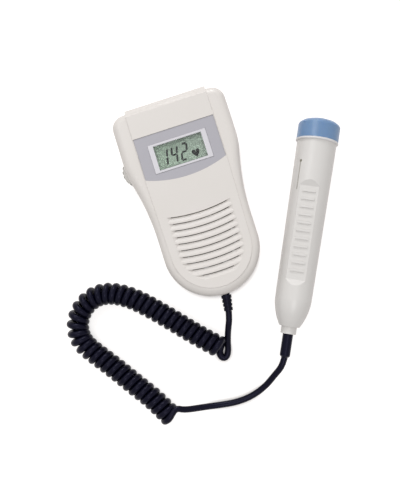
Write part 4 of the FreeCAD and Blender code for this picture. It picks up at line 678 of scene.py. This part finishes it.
middle = add(abs_probe, "ShaderNodeMath", {
    0: parts.outputs["Y"], 1: (LINE_FROM + LINE_TO) / 2}, operation="ADD")
along = add(abs_probe, "ShaderNodeMath", {0: middle.outputs[0]}, operation="ABSOLUTE")
within = add(abs_probe, "ShaderNodeMapRange", {
    "Value": along.outputs[0], "From Min": (LINE_TO - LINE_FROM) / 2,
    "From Max": (LINE_TO - LINE_FROM) / 2 - SHADE_EDGE, "To Max": LINE_SHADE_SHARE})
line = add(abs_probe, "ShaderNodeMath", {
    0: narrow.outputs[0], 1: within.outputs[0]}, operation="MULTIPLY")
from_end = add(abs_probe, "ShaderNodeMath", {0: parts.outputs["Y"], 1: LINE_FROM}, operation="ADD")
spot = add(abs_probe, "ShaderNodeCombineXYZ", {"X": parts.outputs["X"], "Y": from_end.outputs[0]})
off = add(abs_probe, "ShaderNodeVectorMath", {0: spot.outputs[0]}, operation="LENGTH")
dot = add(abs_probe, "ShaderNodeMapRange", {
    "Value": off.outputs["Value"],
    "From Min": DOT_RADIUS, "From Max": DOT_RADIUS - SHADE_EDGE})
either = add(abs_probe, "ShaderNodeMath", {
    0: line.outputs[0], 1: dot.outputs[0]}, operation="MAXIMUM")
above = add(abs_probe, "ShaderNodeMath", {
    0: parts.outputs["Z"], 1: 0.0}, operation="GREATER_THAN")
groove_shade = add(abs_probe, "ShaderNodeMath", {
    0: either.outputs[0], 1: above.outputs[0]}, operation="MULTIPLY")
# Grey painted shade in the engraved line and dot.
cover(abs_probe, groove_shade.outputs[0], "#9A978B")

# The ring's ABS: whiter than the grip's, and as smooth.
abs_ring = moulded("pale_abs_ring", "#DEDCDC", "#D8D6D6",
                   roughness=0.34, grain_mm=0.5, depth_mm=0.005, ior=ABS_IOR)
dress(abs_ring, "cap_ring")

CAP_CLOUD_MM = 14.0
# How far into the cap red, green and blue light go.
LIGHT_REACH = (0.0006, 0.0009, 0.0016)
# Translucent ABS: light goes a little way in, so that its edges stay bright and soft.
abs_blue = blank(bpy.data.materials.new("blue_translucent_abs"))
place = add(abs_blue, "ShaderNodeTexCoord").outputs["Object"]
cloud = add(abs_blue, "ShaderNodeTexNoise", {
    "Vector": place, "Scale": per_metre(CAP_CLOUD_MM), "Detail": 2.0})
tint = add(abs_blue, "ShaderNodeMix", {
    "Factor": cloud.outputs[0], COLOUR_A: linear("#6B8CB3"), COLOUR_B: linear("#6687AE")},
    data_type="RGBA")
skin = add(abs_blue, "ShaderNodeBsdfPrincipled", {
    "Base Color": tint.outputs[MIXED], "Roughness": 0.32, "IOR": ABS_IOR,
    "Subsurface Weight": 0.25, "Subsurface Radius": LIGHT_REACH, "Subsurface Scale": 1.0})
add(abs_blue, "ShaderNodeOutputMaterial", {"Surface": skin.outputs[0]})
dress(abs_blue, "probe_cap")

# Nitrile rubber: black and dull.
rubber = moulded("black_nitrile_rubber", "#161616", "#1E1E1E",
                 roughness=0.6, grain_mm=0.3, depth_mm=0.01, ior=1.52)
dress(rubber, "cap_seal")
# Silvered ceramic: the fired silver face of a crystal, dull and slightly warm.
silvered = plated("silvered_ceramic", "#CFC9BC", roughness=0.42, streak_mm=0.3)
dress(silvered, "transducer_discs")
# Loaded epoxy: grey, speckled with the powder that makes it heavy.
absorber = moulded("loaded_epoxy", "#55565A", "#3F4044",
                   roughness=0.75, grain_mm=0.6, depth_mm=0.02, ior=1.55, cloud_mm=1.0)
dress(absorber, "transducer_backing")
